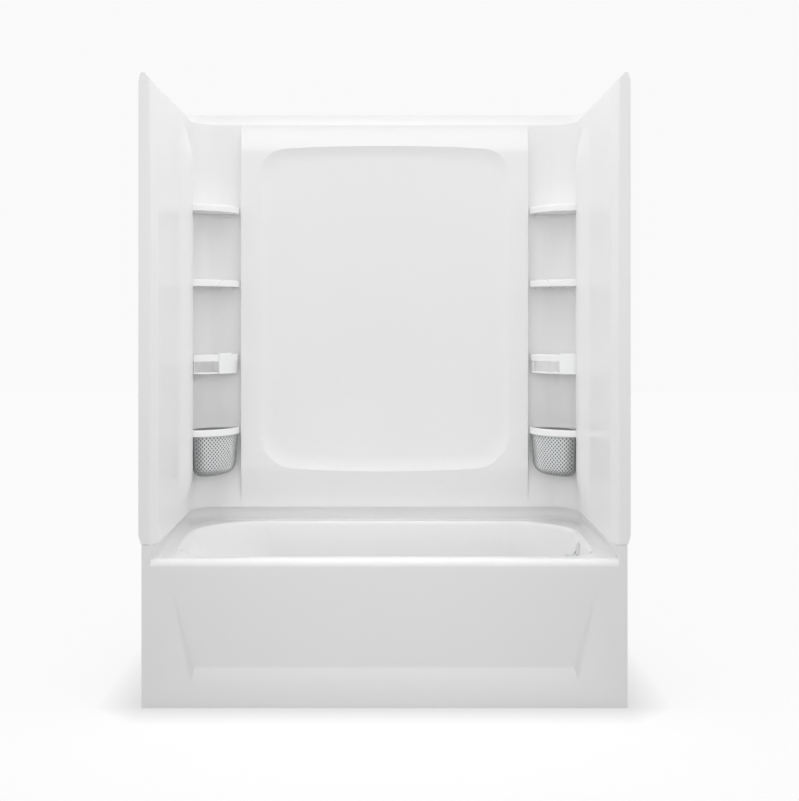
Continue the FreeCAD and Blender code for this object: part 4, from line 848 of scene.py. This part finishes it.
world = bpy.data.worlds.new("room")
bpy.context.scene.world = world
room = Nodes(world)
path = room.add("ShaderNodeLightPath", {}, {})
seen = path["Is Camera Ray"].at_least(path["Is Glossy Ray"])
seen = seen.at_least(path["Is Transmission Ray"])
dim_sockets = {"Color": (1.0, 1.0, 1.0, 1.0), "Strength": room_level}
dim = room.add("ShaderNodeBackground", {}, dim_sockets)["Background"]
bright_sockets = {"Color": (room_white, room_white, room_white, 1.0)}
bright = room.add("ShaderNodeBackground", {}, bright_sockets)["Background"]
either = room.add("ShaderNodeMixShader", {}, {0: seen, 1: dim, 2: bright})["Shader"]
room.add("ShaderNodeOutputWorld", {}, {"Surface": either})

# %% [markdown]
# Soft lamps shape the unit. Two hang overhead, one wide and one narrow, and brighten the deck and
# the tops of the walls. One hangs lower over the front edge of the bath. The others stand well
# back in front, low in power and narrow, and lift the towers, the apron and the two end walls.
# None shows in the gloss, where the room's own white does.

# %% Lamps
lamp_height = 3.4


def soft_lamp(name, place, aim, size, power, spread):
    """A rectangular lamp of so many watts that shines towards a point, spread over some degrees"""
    data = bpy.data.lights.new(name, "AREA")
    data.shape = "RECTANGLE"
    data.size = size[0]
    data.size_y = size[1]
    data.energy = power
    data.spread = math.radians(spread)
    lamp = bpy.data.objects.new(name, data)
    bpy.context.scene.collection.objects.link(lamp)
    lamp.location = place
    lamp.visible_camera = False
    lamp.visible_glossy = False
    lamp.rotation_euler = (Vector(aim) - Vector(place)).to_track_quat("-Z", "Y").to_euler()


soft_lamp("top_lamp", (0.0, -0.25, lamp_height), (0.0, -0.15, 0.5), (1.8, 1.0), 6.5, 180.0)
soft_lamp("front_lamp", (0.0, -0.75, 2.4), (0.0, 0.1, 0.6), (1.6, 0.5), 2.2, 180.0)
soft_lamp("deck_lamp", (0.0, -0.15, lamp_height), (0.0, -0.15, 0.5), (1.6, 0.9), 1.8, 40.0)
soft_lamp("tower_lamp", (0.0, -2.6, 1.7), (0.0, 0.34, 1.25), (1.4, 1.0), 0.5, 45.0)
soft_lamp("apron_lamp", (0.0, -3.2, 0.5), (0.0, -0.38, 0.3), (1.6, 0.8), 0.45, 30.0)
for side in (-1.0, 1.0):
    soft_lamp("side_lamp", (side * 3.0, -1.8, 1.75), (side * -0.72, 0.05, 1.2), (1.2, 1.0), 1.0,
              40.0)

# %% [markdown]
# The floor is plain and pale. What the camera sees of it is a mix of its real shade, which keeps
# the unit's shadow, and an even white. Close round the unit's foot that white is lowered, as a
# painted contact shadow.

# %% Floor
floor_size = 30.0
floor_sink = 0.0005
floor_white = 0.5
glow_share = 0.55
glow_level = 1.42
foot_half_width = 0.762
foot_half_depth = 0.381
# painted contact shadow: the glow's share right at the unit's foot, and the reach over which it
# fades out
painted_foot_shadow = 0.74
painted_foot_shadow_reach = 0.15

bpy.ops.object.select_all(action="DESELECT")
bpy.ops.mesh.primitive_plane_add(size=floor_size, location=(0.0, 0.0, -floor_sink))
floor = bpy.context.object
floor.name = "studio_floor"
ground = Finish("studio_floor")
path = ground.add("ShaderNodeLightPath", {}, {})
seen = (path["Is Camera Ray"] + path["Is Glossy Ray"]) * glow_share
floor_colour = (floor_white, floor_white, floor_white, 1.0)
lit = ground.add("ShaderNodeBsdfDiffuse", {}, {"Color": floor_colour})["BSDF"]
spot = ground.axes(ground.place)
# painted contact shadow: the glow darkens towards the unit's foot
gap_across = (abs(spot["X"]) - foot_half_width).at_least(0.0)
gap_deep = (abs(spot["Y"]) - foot_half_depth).at_least(0.0)
clear = ((gap_across + gap_deep) * (1.0 / painted_foot_shadow_reach)).at_most(1.0)
glow_with_painted_shadow = (painted_foot_shadow + clear * (1.0 - painted_foot_shadow)) * glow_level
glow = ground.add("ShaderNodeEmission", {}, {"Strength": glow_with_painted_shadow})["Emission"]
mixed = ground.add("ShaderNodeMixShader", {}, {0: seen, 1: lit, 2: glow})["Shader"]
ground.add("ShaderNodeOutputMaterial", {}, {"Surface": mixed})
floor.data.materials.append(ground.owner)

bpy.context.scene.view_settings.view_transform = "Standard"
